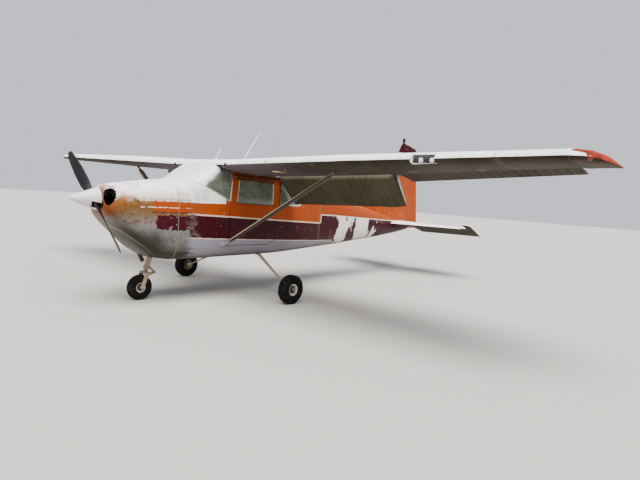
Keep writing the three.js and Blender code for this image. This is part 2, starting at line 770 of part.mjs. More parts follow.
// Hollow, with an access hole at its middle, inside the tail cone
function stabilizer() {
  const access = box(6000, 6150, -40, 40, STAB.z, STAB.z + 100);
  return cut(stabilizerSolid(0), stabilizerSolid(-TAIL_WALL), access);
}

function elevatorRing(y, skew) {
  const share = (Math.abs(y) - ELEVATOR.rootY) / (ELEVATOR.halfSpan - ELEVATOR.rootY);
  const radius = lerp(ELEVATOR.rootRadius, ELEVATOR.tipRadius, share);
  const tailX = ELEVATOR.hingeX + lerp(ELEVATOR.rootChord, ELEVATOR.tipChord, share);
  return surfaceRing([ELEVATOR.hingeX, y, STAB.z], radius, tailX, STAB.z, skew);
}

function elevator() {
  const half = loft([
    elevatorRing(ELEVATOR.rootY, ELEVATOR.rudderSweep),
    elevatorRing(STAB.halfSpan, 0),
    elevatorRing(ELEVATOR.halfSpan, 0),
  ]);
  const { hingeX, hornFrom, hornReach, halfSpan, tube } = ELEVATOR;
  const hornRing = (y, reach) => surfaceRing([hingeX - reach, y, STAB.z], 16, hingeX + 60, STAB.z);
  const horn = loft([hornRing(hornFrom, hornReach - 16), hornRing(halfSpan, hornReach - 60)]);
  const shaftEnd = ELEVATOR.rootY + 60;
  const shaft = rod([hingeX, -shaftEnd, STAB.z], [hingeX, shaftEnd, STAB.z], tube, undefined, 24);
  const neutral = join(half, mirrored(half), horn, mirrored(horn), shaft);
  const geometry = geometryOf(neutral);
  geometry.translate(-hingeX, 0, -STAB.z);
  geometry.rotateY(rad(ELEVATOR.droop));
  geometry.translate(hingeX, 0, STAB.z);
  return solidOf(geometry);
}

function rudderHinge(z) {
  const share = (z - RUDDER.baseZ) / (RUDDER.topZ - RUDDER.baseZ);
  return { x: lerp(RUDDER.baseX, RUDDER.topX, share), radius: lerp(RUDDER.baseR, RUDDER.topR, share), share };
}

function finRing(z, noseX, inset = 0) {
  const { x, radius } = rudderHinge(z);
  const nose = noseX + 4 * inset;
  const chord = (x - nose) / 0.66;
  const rear = (x - radius - SURFACE_GAP - inset - nose) / chord;
  const thickness = FIN.thickness - (2 * inset) / chord;
  return airfoil(0, rear, thickness, 0).map(([along, up]) => [nose + chord * along, chord * up, z]);
}

// The fin stands on the tail cone's skin. It is hollow and open at its foot.
function fin() {
  const slope = (FIN.topX - FIN.baseX) / (FIN.topZ - FIN.baseZ);
  const noseAt = (z) => FIN.baseX + (z - FIN.baseZ) * slope;
  const top = FIN.topZ;
  const footZ = 1120;
  const body = loft([
    finRing(footZ, noseAt(footZ)),
    finRing(1650, noseAt(1650)),
    finRing(top - 50, noseAt(top - 50)),
    finRing(top - 14, noseAt(top) + 10),
    finRing(top, noseAt(top) + 40),
  ]);
  const hollow = loft([footZ - 1, top - 160].map((z) => finRing(z, noseAt(z), TAIL_WALL)));
  const { hingeX, tube } = ELEVATOR;
  const [, , , coneTop] = fuselageAt(TAIL.rear);
  const around = [
    hull(CABIN.rear, TAIL.rear, -SEAT),
    box(TAIL.rear - 1, TAIL.rear + SEAT, -150, 150, footZ - 1, coneTop + SEAT),
    stabilizerSolid(2 * SEAT),
    rod([hingeX, -200, STAB.z], [hingeX, 200, STAB.z], tube + SURFACE_GAP, undefined, 24),
    aboveTail(),
  ];
  return join(cut(join(body, dorsalFin()), ...around, hollow), ...RUDDER_HINGES.map(rudderBracket));
}

// The low ridge ahead of the fin. Its foot lies inside the tail cone and is cut off there.
function dorsalFin() {
  const foot = 1280;
  // x, top, half thickness at the top and at the foot
  const rows = [
    [4360, 1482, 8, 14],
    [4900, 1524, 12, 22],
    [5440, 1572, 18, 32],
  ];
  return loft(
    rows.map(([x, z, upper, lower]) => [
      [x, -lower, foot],
      [x, lower, foot],
      [x, upper, z - 6],
      [x, 0, z],
      [x, -upper, z - 6],
    ]),
  );
}

// Everything above the sloping top of fin and rudder
function aboveTail() {
  const { slopeFrom, slope } = TAIL_TOP;
  const reach = 900;
  const low = FIN.topZ - reach * Math.tan(rad(slope));
  const outline = [
    [slopeFrom, FIN.topZ],
    [slopeFrom + reach, low],
    [slopeFrom + reach, FIN.topZ + 50],
    [slopeFrom, FIN.topZ + 50],
  ];
  return sidePrism(outline, -150, 150);
}

// A hinge bracket of the fin, square to the hinge line, which carries the rudder
function rudderBracket(z) {
  const { x, radius } = rudderHinge(z);
  return alongRudderHinge(box(-radius - 2 * SURFACE_GAP, 10, -9, 9, -14, 0), x, z);
}

function rudderNotch(z) {
  const { x, radius } = rudderHinge(z);
  return alongRudderHinge(box(-2 * radius, 18, -80, 80, -22, SEAT), x, z);
}

function alongRudderHinge(solid, x, z) {
  const lean = Math.atan2(RUDDER.topX - RUDDER.baseX, RUDDER.topZ - RUDDER.baseZ);
  return solidOf(geometryOf(solid).rotateY(lean).translate(x, 0, z));
}

function rudderTail(z) {
  const { x, share } = rudderHinge(z);
  return x + lerp(RUDDER.baseTail, RUDDER.topTail, share);
}

function rudder() {
  const ring = (z, tailX) => {
    const { x, radius } = rudderHinge(z);
    return surfaceRing([x, z, 0], radius, tailX, 0).map(([px, pz, py]) => [px, py, pz]);
  };
  const blade = loft([
    ring(RUDDER.baseZ, rudderTail(RUDDER.baseZ) - RUDDER.round),
    ring(RUDDER.baseZ + RUDDER.round, rudderTail(RUDDER.baseZ + RUDDER.round)),
    ring(RUDDER.topZ - RUDDER.round, rudderTail(RUDDER.topZ - RUDDER.round)),
    ring(RUDDER.topZ, rudderTail(RUDDER.topZ) - RUDDER.round),
  ]);
  return cut(blade, aboveTail(), ...RUDDER_HINGES.map(rudderNotch));
}

function beacon() {
  const { x, base, lens, lensTop, height } = BEACON;
  const z = FIN.topZ + SEAT;
  return join(rod([x, 0, z], [x, 0, z + 40], base), rod([x, 0, z + 39], [x, 0, z + height], lens, lensTop));
}

function buildTail(airframe) {
  const orange = finish(PAINT.orange, 0.45);
  const white = finish(PAINT.white, 0.4);
  addPiece(airframe, "stabilizer", stabilizer(), white);
  addPiece(airframe, "elevator", elevator(), white);
  addPiece(airframe, "fin", fin(), orange);
  addPiece(airframe, "rudder", rudder(), orange);
  addPiece(airframe, "beacon", beacon(), finish(PAINT.dark, 0.3));
}

// Landing gear

function tyre(radius, width, rim) {
  // Radius share between rim and tread, half width share
  const rows = [
    [0.0, 0.72],
    [0.2, 0.94],
    [0.5, 1.0],
    [0.78, 0.9],
    [0.93, 0.66],
    [1.0, 0.3],
  ];
  const half = rows.map(([out, wide]) => [lerp(rim + SEAT, radius, out), (wide * width) / 2]);
  const profile = [...half.map(([r, x]) => [r, -x]), ...half.reverse()];
  return turned([...profile, profile[0]], WHEEL_SEGMENTS);
}

function rim(radius, width, bore) {
  const half = [
    [bore + SEAT, width * 0.42],
    [bore + 16, width * 0.42],
    [bore + 22, width * 0.2],
    [radius - 20, width * 0.2],
    [radius - 8, width * 0.36],
    [radius, width * 0.36],
  ];
  const profile = [...half.map(([r, x]) => [r, -x]), ...half.reverse()];
  return turned([...profile, profile[0]], WHEEL_SEGMENTS);
}

const LEG = { root: [1570, 300, 652], exit: [1570, 430, 620], foot: [1438, 1238, 240], topWide: 80, footWide: 42 };

function legRing([x, y, z], wide, thick) {
  return Array.from({ length: 10 }, (_, i) => {
    const angle = (2 * Math.PI * i) / 10;
    const lift = (thick / 2) * Math.sin(angle);
    return [x + (wide / 2) * Math.cos(angle), y + lift * 0.42, z + lift * 0.91];
  });
}

function mainLeg() {
  const { exit, foot, topWide, footWide } = LEG;
  const bar = loft([legRing(exit, topWide, 30), legRing(foot, footWide, 26)]);
  const axleEnd = MAIN.y + MAIN.width / 2 - 8;
  const axle = rod([MAIN.x, foot[1] - 25, MAIN.radius], [MAIN.x, axleEnd, MAIN.radius], MAIN.axle);
  const boss = rod([MAIN.x, foot[1] - 20, MAIN.radius], [MAIN.x, MAIN.y - MAIN.width / 2 - 12, MAIN.radius], 44);
  return join(bar, axle, boss);
}

function legLug() {
  const { root, exit, foot } = LEG;
  const start = new THREE.Vector3(...exit);
  const along = new THREE.Vector3(...foot).sub(start).normalize();
  const end = start.addScaledVector(along, -SEAT / along.y).toArray();
  return loft([legRing(root, 110, 60), legRing(end, 92, 44)]);
}

function fuselageLugs() {
  const lugs = [legLug(), strutLugLower(), ...HINGE.heights.map((z) => hingeLeaf(1, z, -1))];
  return [...lugs, ...lugs.map(mirrored)];
}

function legPoint(z) {
  const { topX, topZ, footX, footZ } = NOSE_LEG;
  return [lerp(topX, footX, (topZ - z) / (topZ - footZ)), 0, z];
}

function noseLegHole() {
  return rod(legPoint(900), legPoint(300), NOSE_LEG.sleeve + SURFACE_GAP);
}

// The sleeve hangs on a bracket from the firewall
function noseStrut() {
  const sleeve = rod(legPoint(790), legPoint(NOSE_LEG.sleeveEnd), NOSE_LEG.sleeve, undefined, 18);
  const [x] = legPoint(740);
  return join(sleeve, box(x, CABIN.front - PLATE - 3 * SEAT, -45, 45, 700, 780));
}

function noseFork() {
  const { piston, sleeveEnd } = NOSE_LEG;
  const { x, radius, width, axle } = NOSE_WHEEL;
  const start = new THREE.Vector3(...legPoint(sleeveEnd));
  const down = new THREE.Vector3(...legPoint(0)).sub(start).normalize();
  const top = start.addScaledVector(down, SEAT).toArray();
  const crownZ = 375;
  const bar = rod(top, legPoint(crownZ), piston, undefined, 18);
  const [crownX] = legPoint(crownZ);
  const inside = width / 2 + 12;
  const outside = inside + 16;
  const crown = box(crownX - 34, crownX + 34, -outside, outside, crownZ - 6, crownZ + 24);
  const arm = loft([
    ...[
      [crownX, crownZ + 10, 34],
      [x, radius, 24],
    ].map(([cx, cz, half]) => [
      [cx - half, inside, cz],
      [cx + half, inside, cz],
      [cx + half, outside, cz],
      [cx - half, outside, cz],
    ]),
  ]);
  const foot = rod([x, inside, radius], [x, outside, radius], 24);
  const axleBar = rod([x, -outside + 2, radius], [x, outside - 2, radius], axle);
  return join(bar, crown, arm, mirrored(arm), foot, mirrored(foot), axleBar);
}

function placed(solid, x, y, z) {
  const geometry = geometryOf(solid).rotateZ(Math.PI / 2);
  return { geometry, position: [x, y, z] };
}

function addWheel(airframe, names, size, [x, y, z]) {
  const [tyreName, rimName] = names;
  const pieces = [
    [tyreName, tyre(size.radius, size.width, size.rim), finish(PAINT.rubber, 0.85)],
    [rimName, rim(size.rim, size.width, size.axle), finish(PAINT.grey, 0.5)],
  ];
  for (const [name, solid, material] of pieces) {
    const wheel = placed(solid, x, y, z);
    const mesh = new THREE.Mesh(wheel.geometry, material);
    mesh.name = name;
    mesh.position.set(...wheel.position);
    airframe.add(mesh);
  }
}

function buildGear(airframe) {
  const cream = finish(PAINT.cream, 0.5);
  for (const [side, word] of SIDES) {
    addPiece(airframe, `main_leg_${word}`, onSide(side, mainLeg()), cream);
    addWheel(airframe, [`main_tyre_${word}`, `main_rim_${word}`], MAIN, [MAIN.x, side * MAIN.y, MAIN.radius]);
  }
  addPiece(airframe, "nose_strut", noseStrut(), cream);
  addPiece(airframe, "nose_fork", noseFork(), cream);
  addWheel(airframe, ["nose_tyre", "nose_rim"], NOSE_WHEEL, [NOSE_WHEEL.x, 0, NOSE_WHEEL.radius]);
}

// Propeller

// Radius, chord, thickness, blade angle from the plane of rotation
const BLADE = [
  [40, 84, 60, 62],
  [150, 96, 42, 55],
  [300, 138, 24, 42],
  [550, 150, 16, 30],
  [800, 126, 11, 23],
  [930, 96, 8, 19],
  [975, 48, 5, 17],
];

function blade() {
  const rings = BLADE.map(([radius, chord, thick, angle]) => {
    const turn = rad(angle);
    return Array.from({ length: 10 }, (_, i) => {
      const around = (2 * Math.PI * i) / 10;
      const along = (chord / 2) * Math.cos(around);
      const up = (thick / 2) * Math.sin(around);
      return [-along * Math.sin(turn) + up * Math.cos(turn), along * Math.cos(turn) + up * Math.sin(turn), radius];
    });
  });
  return loft(rings);
}

function propeller() {
  const one = blade();
  const other = solidOf(geometryOf(one).rotateX(Math.PI));
  const { x, hub, backX, backPlate, shaft } = PROP;
  const hubBody = rod([-70, 0, 0], [backX - x + 1, 0, 0], hub, undefined, 20);
  const plate = rod([backX - x, 0, 0], [backX - x + backPlate, 0, 0], SPINNER.radius - 2, undefined, 32);
  const shaftBar = rod([backX - x, 0, 0], [ENGINE.front - SEAT - x, 0, 0], shaft, undefined, 20);
  return join(one, other, hubBody, plate, shaftBar);
}

function spinner() {
  const { tip, base, radius, wall, power } = SPINNER;
  const length = base - tip;
  const steps = 8;
  const side = (inset) =>
    Array.from({ length: steps }, (_, i) => {
      const share = ((i + 1) / steps) ** 1.4;
      return [Math.max(2, radius * share ** power - inset), tip - PROP.x + length * share];
    });
  const outer = turned([[0, tip - PROP.x], ...side(0), [0, base - PROP.x]], 32);
  const inner = turned([[0, tip - PROP.x + 30], ...side(wall).slice(2), [0, base - PROP.x]], 32);
  const slots = box(-62, 62, -48, 48, -200, 200);
  return cut(outer, inner, slots, box(base - PROP.x - 0.2, base - PROP.x + 5, -200, 200, -200, 200));
}

function buildPropeller(airframe) {
  const group = new THREE.Group();
  group.position.set(PROP.x, 0, PROP.z);
  group.rotation.x = rad(PROP.angle - 90);
  airframe.add(group);
  addPiece(group, "propeller", propeller(), finish(PAINT.dark, 0.5, 0.3));
  addPiece(group, "spinner", spinner(), finish(PAINT.white, 0.35));
}

// Cabin interior and small fittings

function seat(x, y0, y1, backTop) {
  const pedestal = box(x + 60, x + 400, y0 + 100, y1 - 100, 735 + SEAT, 1010);
  const cushion = box(x, x + 480, y0, y1, 990, 1110);
  const back = sidePrism(
    [
      [x + 380, 1050],
      [x + 490, 1050],
      [x + 600, backTop],
      [x + 500, backTop],
    ],
    y0,
    y1,
  );
  return join(pedestal, cushion, back);
}

function instrumentPanel() {
  const inside = hull(10, 900, CABIN.wall + SEAT);
  const board = box(400, 425, -600, 600, 1210, 1640);
  const shield = box(260, 500, -600, 600, 1625, 1645);
  return common(join(board, shield), inside);
}

function yoke(side) {
  const y = side * 250;
  const z = 1400;
  const column = rod([425 + SEAT, y, z], [600, y, z], 12);
  const bar = box(590, 612, y - 130, y + 130, z - 14, z + 14);
  const grips = [-1, 1].map((end) => rod([601, y + end * 125, z - 20], [601, y + end * 140, z + 110], 13));
  return join(column, bar, ...grips);
}

// A whip aerial on a foot that stands on the roof's curve
function whip(x, length, lean, radius) {
  const roofZ = roofTopAt(x);
  const foot = rod([x, 0, roofZ - 20], [x, 0, roofZ + 28], 24, 14);
  const mast = rod([x, 0, roofZ + 18], [x + lean, 0, roofZ + length], radius, radius * 0.6, 8);
  return cut(join(foot, mast), roof(SEAT));
}

function roofTopAt(x) {
  const upper = roofSection().slice(0, AIRFOIL_STEPS + 1);
  const after = upper.findIndex(([px]) => px > x);
  const [[x0, z0], [x1, z1]] = [upper[after - 1], upper[after]];
  return lerp(z0, z1, (x - x0) / (x1 - x0));
}

// The stack leaves the lower cowl's skin
function exhaust() {
  const stack = rod([-260, 210, 800], [-110, 210, 515], 30, undefined, 16);
  return cut(stack, hull(NOSE.split, 100, -SEAT));
}

function buildFittings(airframe) {
  const seatCloth = finish(PAINT.seat, 0.9);
  const dark = finish(PAINT.dark, 0.6);
  addPiece(airframe, "seat_left", seat(900, -470, -50, 1680), seatCloth);
  addPiece(airframe, "seat_right", seat(900, 50, 470, 1680), seatCloth);
  addPiece(airframe, "rear_bench", seat(1720, -460, 460, 1600), seatCloth);
  addPiece(airframe, "exhaust_stack", exhaust(), finish(PAINT.steel, 0.7, 0.5));
  addPiece(airframe, "instrument_panel", instrumentPanel(), dark);
  addPiece(airframe, "yoke_left", yoke(-1), dark);
  addPiece(airframe, "yoke_right", yoke(1), dark);
  addPiece(airframe, "aerial_front", whip(960, 215, 85, 6), finish(PAINT.white, 0.5));
  addPiece(airframe, "aerial_rear", whip(1470, 575, 370, 9), finish(PAINT.white, 0.5));
}

// Assembly

function buildAircraft() {
  const airframe = new THREE.Group();
  buildFuselage(airframe);
  buildWings(airframe);
  buildTail(airframe);
  buildGear(airframe);
  buildPropeller(airframe);
  buildFittings(airframe);
  airframe.position.x = -(SPINNER.tip + rudderTail(RUDDER.baseZ + RUDDER.round)) / 2;
  const aircraft = new THREE.Group();
  aircraft.add(airframe);
  return aircraft;
}

export default buildAircraft();
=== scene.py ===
"""Looks of a weathered high-wing light aircraft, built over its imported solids."""

import json
import math

import bmesh
import bpy
from bpy.props import FloatProperty, FloatVectorProperty, IntProperty, PointerProperty
from bpy.types import Operator, Panel, PropertyGroup
from mathutils import Matrix, Vector
from mathutils.bvhtree import BVHTree


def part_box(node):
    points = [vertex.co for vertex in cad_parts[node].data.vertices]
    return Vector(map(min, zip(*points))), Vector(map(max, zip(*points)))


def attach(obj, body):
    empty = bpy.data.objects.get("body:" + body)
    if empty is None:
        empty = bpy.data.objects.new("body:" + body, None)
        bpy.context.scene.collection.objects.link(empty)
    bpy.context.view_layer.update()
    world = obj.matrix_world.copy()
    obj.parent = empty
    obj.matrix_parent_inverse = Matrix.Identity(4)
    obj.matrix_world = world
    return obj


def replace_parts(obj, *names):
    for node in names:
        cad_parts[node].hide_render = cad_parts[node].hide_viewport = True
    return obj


bl_info = {
    "name": "High-wing light aircraft",
    "version": (1, 0, 0),
    "blender": (4, 5, 0),
    "location": "3D View > Sidebar > Aircraft",
    "description": "Builds a weathered four-seat aircraft with struts, flaps and three wheels",
    "category": "Object",
}

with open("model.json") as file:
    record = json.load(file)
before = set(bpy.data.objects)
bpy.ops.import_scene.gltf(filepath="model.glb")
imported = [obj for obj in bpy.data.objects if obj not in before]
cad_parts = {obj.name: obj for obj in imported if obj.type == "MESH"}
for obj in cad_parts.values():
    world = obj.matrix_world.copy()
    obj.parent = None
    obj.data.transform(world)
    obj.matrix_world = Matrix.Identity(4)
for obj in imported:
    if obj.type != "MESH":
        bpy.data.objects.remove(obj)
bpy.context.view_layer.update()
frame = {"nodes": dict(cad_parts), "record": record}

# Metres. X runs aft, Y to starboard, Z up. A station is a distance aft of the firewall.
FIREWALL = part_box("firewall")[1].x
BODY_OF = {node: body for body, nodes in frame["record"]["behaviour"]["bodies"].items() for node in nodes}
SIDES = (("left", -1), ("right", 1))

# Side views of the openings, as station and height
DOOR_WINDOW = [(0.96, 1.432), (1.74, 1.412), (1.74, 1.772), (1.0, 1.8)]
REAR_WINDOW = [(1.865, 1.412), (2.385, 1.412), (2.435, 1.47), (2.27, 1.77), (1.865, 1.79)]
SHIELD_TOP, SHIELD_FOOT, SHIELD_REAR = (0.19, 1.738), (0.845, 1.45), (0.88, 1.8)

# How close points are welded, from where a ray starts beside the aircraft, and how deep a fitting sinks in
WELD, BESIDE, SINK = 2e-5, 2, 0.002

# Seats, as sizes of the cushion above the foot of the frame
CUSHION_FOOT, CUSHION_LENGTH, CUSHION_DEPTH = 0.255, 0.48, 0.12

# The wing panels' frame: where the root lies, and its upward slope in degrees
ROOT_Y, ROOT_Z, DIHEDRAL = 0.55, 1.985, 1.6

# The photograph's viewpoint: metres from the firewall, then degrees from +X, above the horizon and of roll
CAMERA_PLACE = (-3.913, -6.530, 1.633)
CAMERA_YAW, CAMERA_PITCH, CAMERA_ROLL = 41.228, -5.035, 3.749
CAMERA_FOCAL = 28.45


def linear(code):
    """Turns an sRGB hex colour into linear RGBA."""
    channels = [int(code[i : i + 2], 16) / 255 for i in (0, 2, 4)]
    return (*[c / 12.92 if c <= 0.04045 else ((c + 0.055) / 1.055) ** 2.4 for c in channels], 1.0)


def colour_property(name, code, description):
    """Makes a colour setting with its default."""
    return FloatVectorProperty(
        name=name, description=description, subtype="COLOR", size=4, min=0, max=1, default=linear(code)
    )


class AircraftColours(PropertyGroup):
    """Colours of the paints and of what shows through them"""

    white: colour_property("White", "f2f0ee", "Paint on top of the wings and the cowl")
    orange: colour_property("Orange", "963c0b", "Upper band of the fuselage, the fin and the rudder")
    maroon: colour_property("Maroon", "33030f", "Lower band of the fuselage")
    cream: colour_property("Cream", "cfb9a6", "Thin lines between the bands")
    belly: colour_property("Belly grey", "86828a", "Paint below the bands")
    # The underside tone is painted shade as well as a film of dirt, and the flaps' primer is dark for the
    # same painted shade
    underside: colour_property("Underside", "3b352c", "Painted shade and dirt film below the wings and the tail")
    primer: colour_property("Primer green", "504c3c", "Primer on the lower faces of the flaps")
    struts: colour_property("Strut cream", "9c8b70", "Paint of lift struts and gear legs")
    tip: colour_property("Tip red", "8a2c1a", "Plastic of the wing tips")


class AircraftSizes(PropertyGroup):
    """Sizes of the surface detail"""

    rivet_pitch: FloatProperty(
        name="Rivet pitch", description="Distance between rivets", unit="LENGTH", default=0.038, min=0.01
    )
    rivet: FloatProperty(
        name="Rivet radius", description="Radius of a rivet head", unit="LENGTH", default=0.0045, min=0.001
    )
    line: FloatProperty(
        name="Line width", description="Width of thin painted lines", unit="LENGTH", default=0.02, min=0.004
    )
    tread_grooves: IntProperty(
        name="Tread grooves", description="Grooves round each tyre", default=4, min=0, max=8
    )


# Materials


def add(tree, kind, inputs=None, stops=None, points=None, **settings):
    """Adds a node with its settings. An input takes a value or the socket that feeds it."""
    made = tree.nodes.new(kind)
    for key, value in settings.items():
        setattr(made, key, value)
    if stops:
        ramp = made.color_ramp.elements
        while len(ramp) < len(stops):
            ramp.new(0.5)
        for element, (position, colour) in zip(ramp, stops):
            element.position, element.color = position, colour
    if points:
        curve = made.mapping.curves[0]
        while len(curve.points) < len(points):
            curve.points.new(0.5, 0.5)
        for point, place in zip(curve.points, points):
            point.location, point.handle_type = place, "VECTOR"
        made.mapping.update()
    for key, value in (inputs or {}).items():
        if isinstance(value, bpy.types.NodeSocket):
            tree.links.new(value, made.inputs[key])
        else:
            made.inputs[key].default_value = value
    return made


def new_material(name, **surface):
    """Starts a material and returns it with its tree and shader."""
    material = bpy.data.materials.new(name)
    material.use_nodes = True
    tree = material.node_tree
    shader = tree.nodes["Principled BSDF"]
    for key, value in surface.items():
        shader.inputs[key.replace("_", " ")].default_value = value
    return material, tree, shader


def place_of(tree):
    """Position from the firewall, and the surface's own direction, both free of any pose."""
    source = add(tree, "ShaderNodeTexCoord")
    moved = add(
        tree,
        "ShaderNodeVectorMath",
        {0: source.outputs["Object"], 1: (FIREWALL, 0, 0)},
        operation="SUBTRACT",
    )
    return moved.outputs[0], source.outputs["Normal"]


def step(tree, value, low, high):
    """Goes smoothly from 0 at the low value to 1 at the high one."""
    made = add(
        tree,
        "ShaderNodeMapRange",
        {"Value": value, "From Min": low, "From Max": high},
        interpolation_type="SMOOTHSTEP",
    )
    return made.outputs[0]


def combine(tree, operation, *values):
    """Chains one arithmetic operation over several values, or applies one that takes a single value."""
    if operation in ("ABSOLUTE", "SINE", "SQRT"):
        return add(tree, "ShaderNodeMath", {0: values[0]}, operation=operation).outputs[0]
    result = values[0]
    for value in values[1:]:
        result = add(tree, "ShaderNodeMath", {0: result, 1: value}, operation=operation).outputs[0]
    return result


def coat(tree, below, above, *shares):
    """Lays one colour over another as far as all of its masks let it. Either may be a hex code."""
    below, above = (linear(tone) if isinstance(tone, str) else tone for tone in (below, above))
    share = combine(tree, "MULTIPLY", *shares)
    return add(tree, "ShaderNodeMixRGB", {"Fac": share, "Color1": below, "Color2": above}).outputs[0]


def patch(tree, x, z, stations, heights, blur):
    """A mask that is 1 inside a field of the side view and fades out over the blur at its edges."""
    (x0, x1), (z0, z1) = stations, heights
    edges = [
        step(tree, x, x0 - blur, x0 + blur),
        step(tree, x, x1 + blur, x1 - blur),
        step(tree, z, z0 - blur, z0 + blur),
        step(tree, z, z1 + blur, z1 - blur),
    ]
    return combine(tree, "MULTIPLY", *edges)


def blotches(tree, place, size, low, high, detail=5.0, stretch=(1, 1, 1)):
    """A mask of irregular spots of about one size in metres."""
    scaled = add(tree, "ShaderNodeVectorMath", {0: place, 1: stretch}, operation="MULTIPLY").outputs[0]
    pattern = {"Vector": scaled, "Scale": 1 / size, "Detail": detail, "Roughness": 0.62}
    return step(tree, add(tree, "ShaderNodeTexNoise", pattern).outputs["Fac"], low, high)


def dots(tree, along, across, pitch, row, radius):
    """Rivet heads at a pitch along rows that lie a distance apart."""
    cell = (pitch, row, 1)
    flat = add(tree, "ShaderNodeCombineXYZ", {"X": along, "Y": across}).outputs[0]
    turns = add(tree, "ShaderNodeVectorMath", {0: flat, 1: cell}, operation="DIVIDE").outputs[0]
    share = add(tree, "ShaderNodeVectorMath", {0: turns}, operation="FRACTION").outputs[0]
    middle = add(
        tree, "ShaderNodeVectorMath", {0: share, 1: (0.5, 0.5, 0)}, operation="SUBTRACT"
    ).outputs[0]
    real = add(tree, "ShaderNodeVectorMath", {0: middle, 1: cell}, operation="MULTIPLY").outputs[0]
    reach = add(tree, "ShaderNodeVectorMath", {0: real}, operation="LENGTH").outputs["Value"]
    return step(tree, reach, radius, radius * 0.5)


def girth(tree, y, z, middle=1.3, mean_radius=0.6):
    """Distance round the fuselage from its side."""
    rise = combine(tree, "SUBTRACT", z, middle)
    angle = add(tree, "ShaderNodeMath", {0: rise, 1: y}, operation="ARCTAN2").outputs[0]
    return combine(tree, "MULTIPLY", angle, mean_radius)


def surface(tree, shader, colour, distance, *heights, place=None, noises=()):
    """Gives a shader its colour, and relief from heights and from noises: scale per metre, detail, share."""
    tree.links.new(colour, shader.inputs["Base Color"])
    parts = list(heights)
    for scale, detail, share in noises:
        noise = add(tree, "ShaderNodeTexNoise", {"Vector": place, "Scale": scale, "Detail": detail})
        parts.append(combine(tree, "MULTIPLY", noise.outputs["Fac"], *([] if share == 1 else [share])))
    relief = {"Height": combine(tree, "ADD", *parts), "Distance": distance, "Strength": 0.6}
    tree.links.new(add(tree, "ShaderNodeBump", relief).outputs[0], shader.inputs["Normal"])


def edge_height(tree, x, points):
    """Height of a painted edge at a station, from points of station and height."""
    first, length, tallest = -1.0, 7.8, 2.0
    share = combine(tree, "DIVIDE", combine(tree, "SUBTRACT", x, first), length)
    places = [((px - first) / length, pz / tallest) for px, pz in points]
    curve = add(tree, "ShaderNodeFloatCurve", {"Value": share}, points=places)
    return combine(tree, "MULTIPLY", curve.outputs[0], tallest)


def fuselage_paint(name, colours, sizes):
    """Old two-tone enamel on aluminium sheet.

    It gives orange over maroon with thin cream lines, gone dull, and worn off the nose to stained primer.
    """
    material, tree, shader = new_material(name, Roughness=0.5, IOR=1.5, Specular_IOR_Level=0.1)
    place, normal = place_of(tree)
    x, y, z = add(tree, "ShaderNodeSeparateXYZ", {0: place}).outputs
    noise = add(tree, "ShaderNodeTexNoise", {"Vector": place, "Scale": 14, "Detail": 6}).outputs["Fac"]
    ragged = combine(tree, "SUBTRACT", noise, 0.5)

    def shaken(value, reach):
        return combine(tree, "ADD", value, combine(tree, "MULTIPLY", ragged, reach))

    height, station = shaken(z, 0.012), shaken(x, 0.012)
    colour, maroon = livery(tree, colours, sizes, place, (station, x, height))
    colour = peeled_sheets(tree, colour, place, x, maroon)
    chips = blotches(tree, place, 0.06, 0.66, 0.69)
    colour = coat(tree, colour, "b8a793", chips, 0.7)
    down = combine(tree, "MULTIPLY", add(tree, "ShaderNodeSeparateXYZ", {0: normal}).outputs[2], -1)
    colour = worn_nose(tree, colour, colours, place, shaken, down)

    # Dirt gathers low down and runs aft
    low = step(tree, z, 1.3, 0.6)
    dirt = combine(tree, "MULTIPLY", blotches(tree, place, 0.28, 0.42, 0.75, 6.0, (0.35, 1, 1)), low, 0.5)
    colour = coat(tree, colour, "4a453b", dirt)
    # Faces low down that look down are painted darker: painted shade under the belly
    colour = coat(tree, colour, "3f3a36", step(tree, down, 0.45, 0.95), low, 0.75)
    around = girth(tree, y, z)
    rivets = dots(tree, around, x, sizes.rivet_pitch, 0.48, sizes.rivet)
    stringers = dots(tree, x, around, sizes.rivet_pitch, 0.31, sizes.rivet)
    marks = combine(tree, "MAXIMUM", rivets, stringers)
    colour = coat(tree, colour, "2c2a28", marks, 0.25)
    surface(tree, shader, colour, 0.0016, marks, place=place, noises=((60, 3, 0.15), (3.0, 1, 3.0)))
    dull = combine(tree, "MAXIMUM", dirt, chips)
    gloss = add(tree, "ShaderNodeMapRange", {"Value": dull, "To Min": 0.38, "To Max": 0.75})
    tree.links.new(gloss.outputs[0], shader.inputs["Roughness"])
    return material


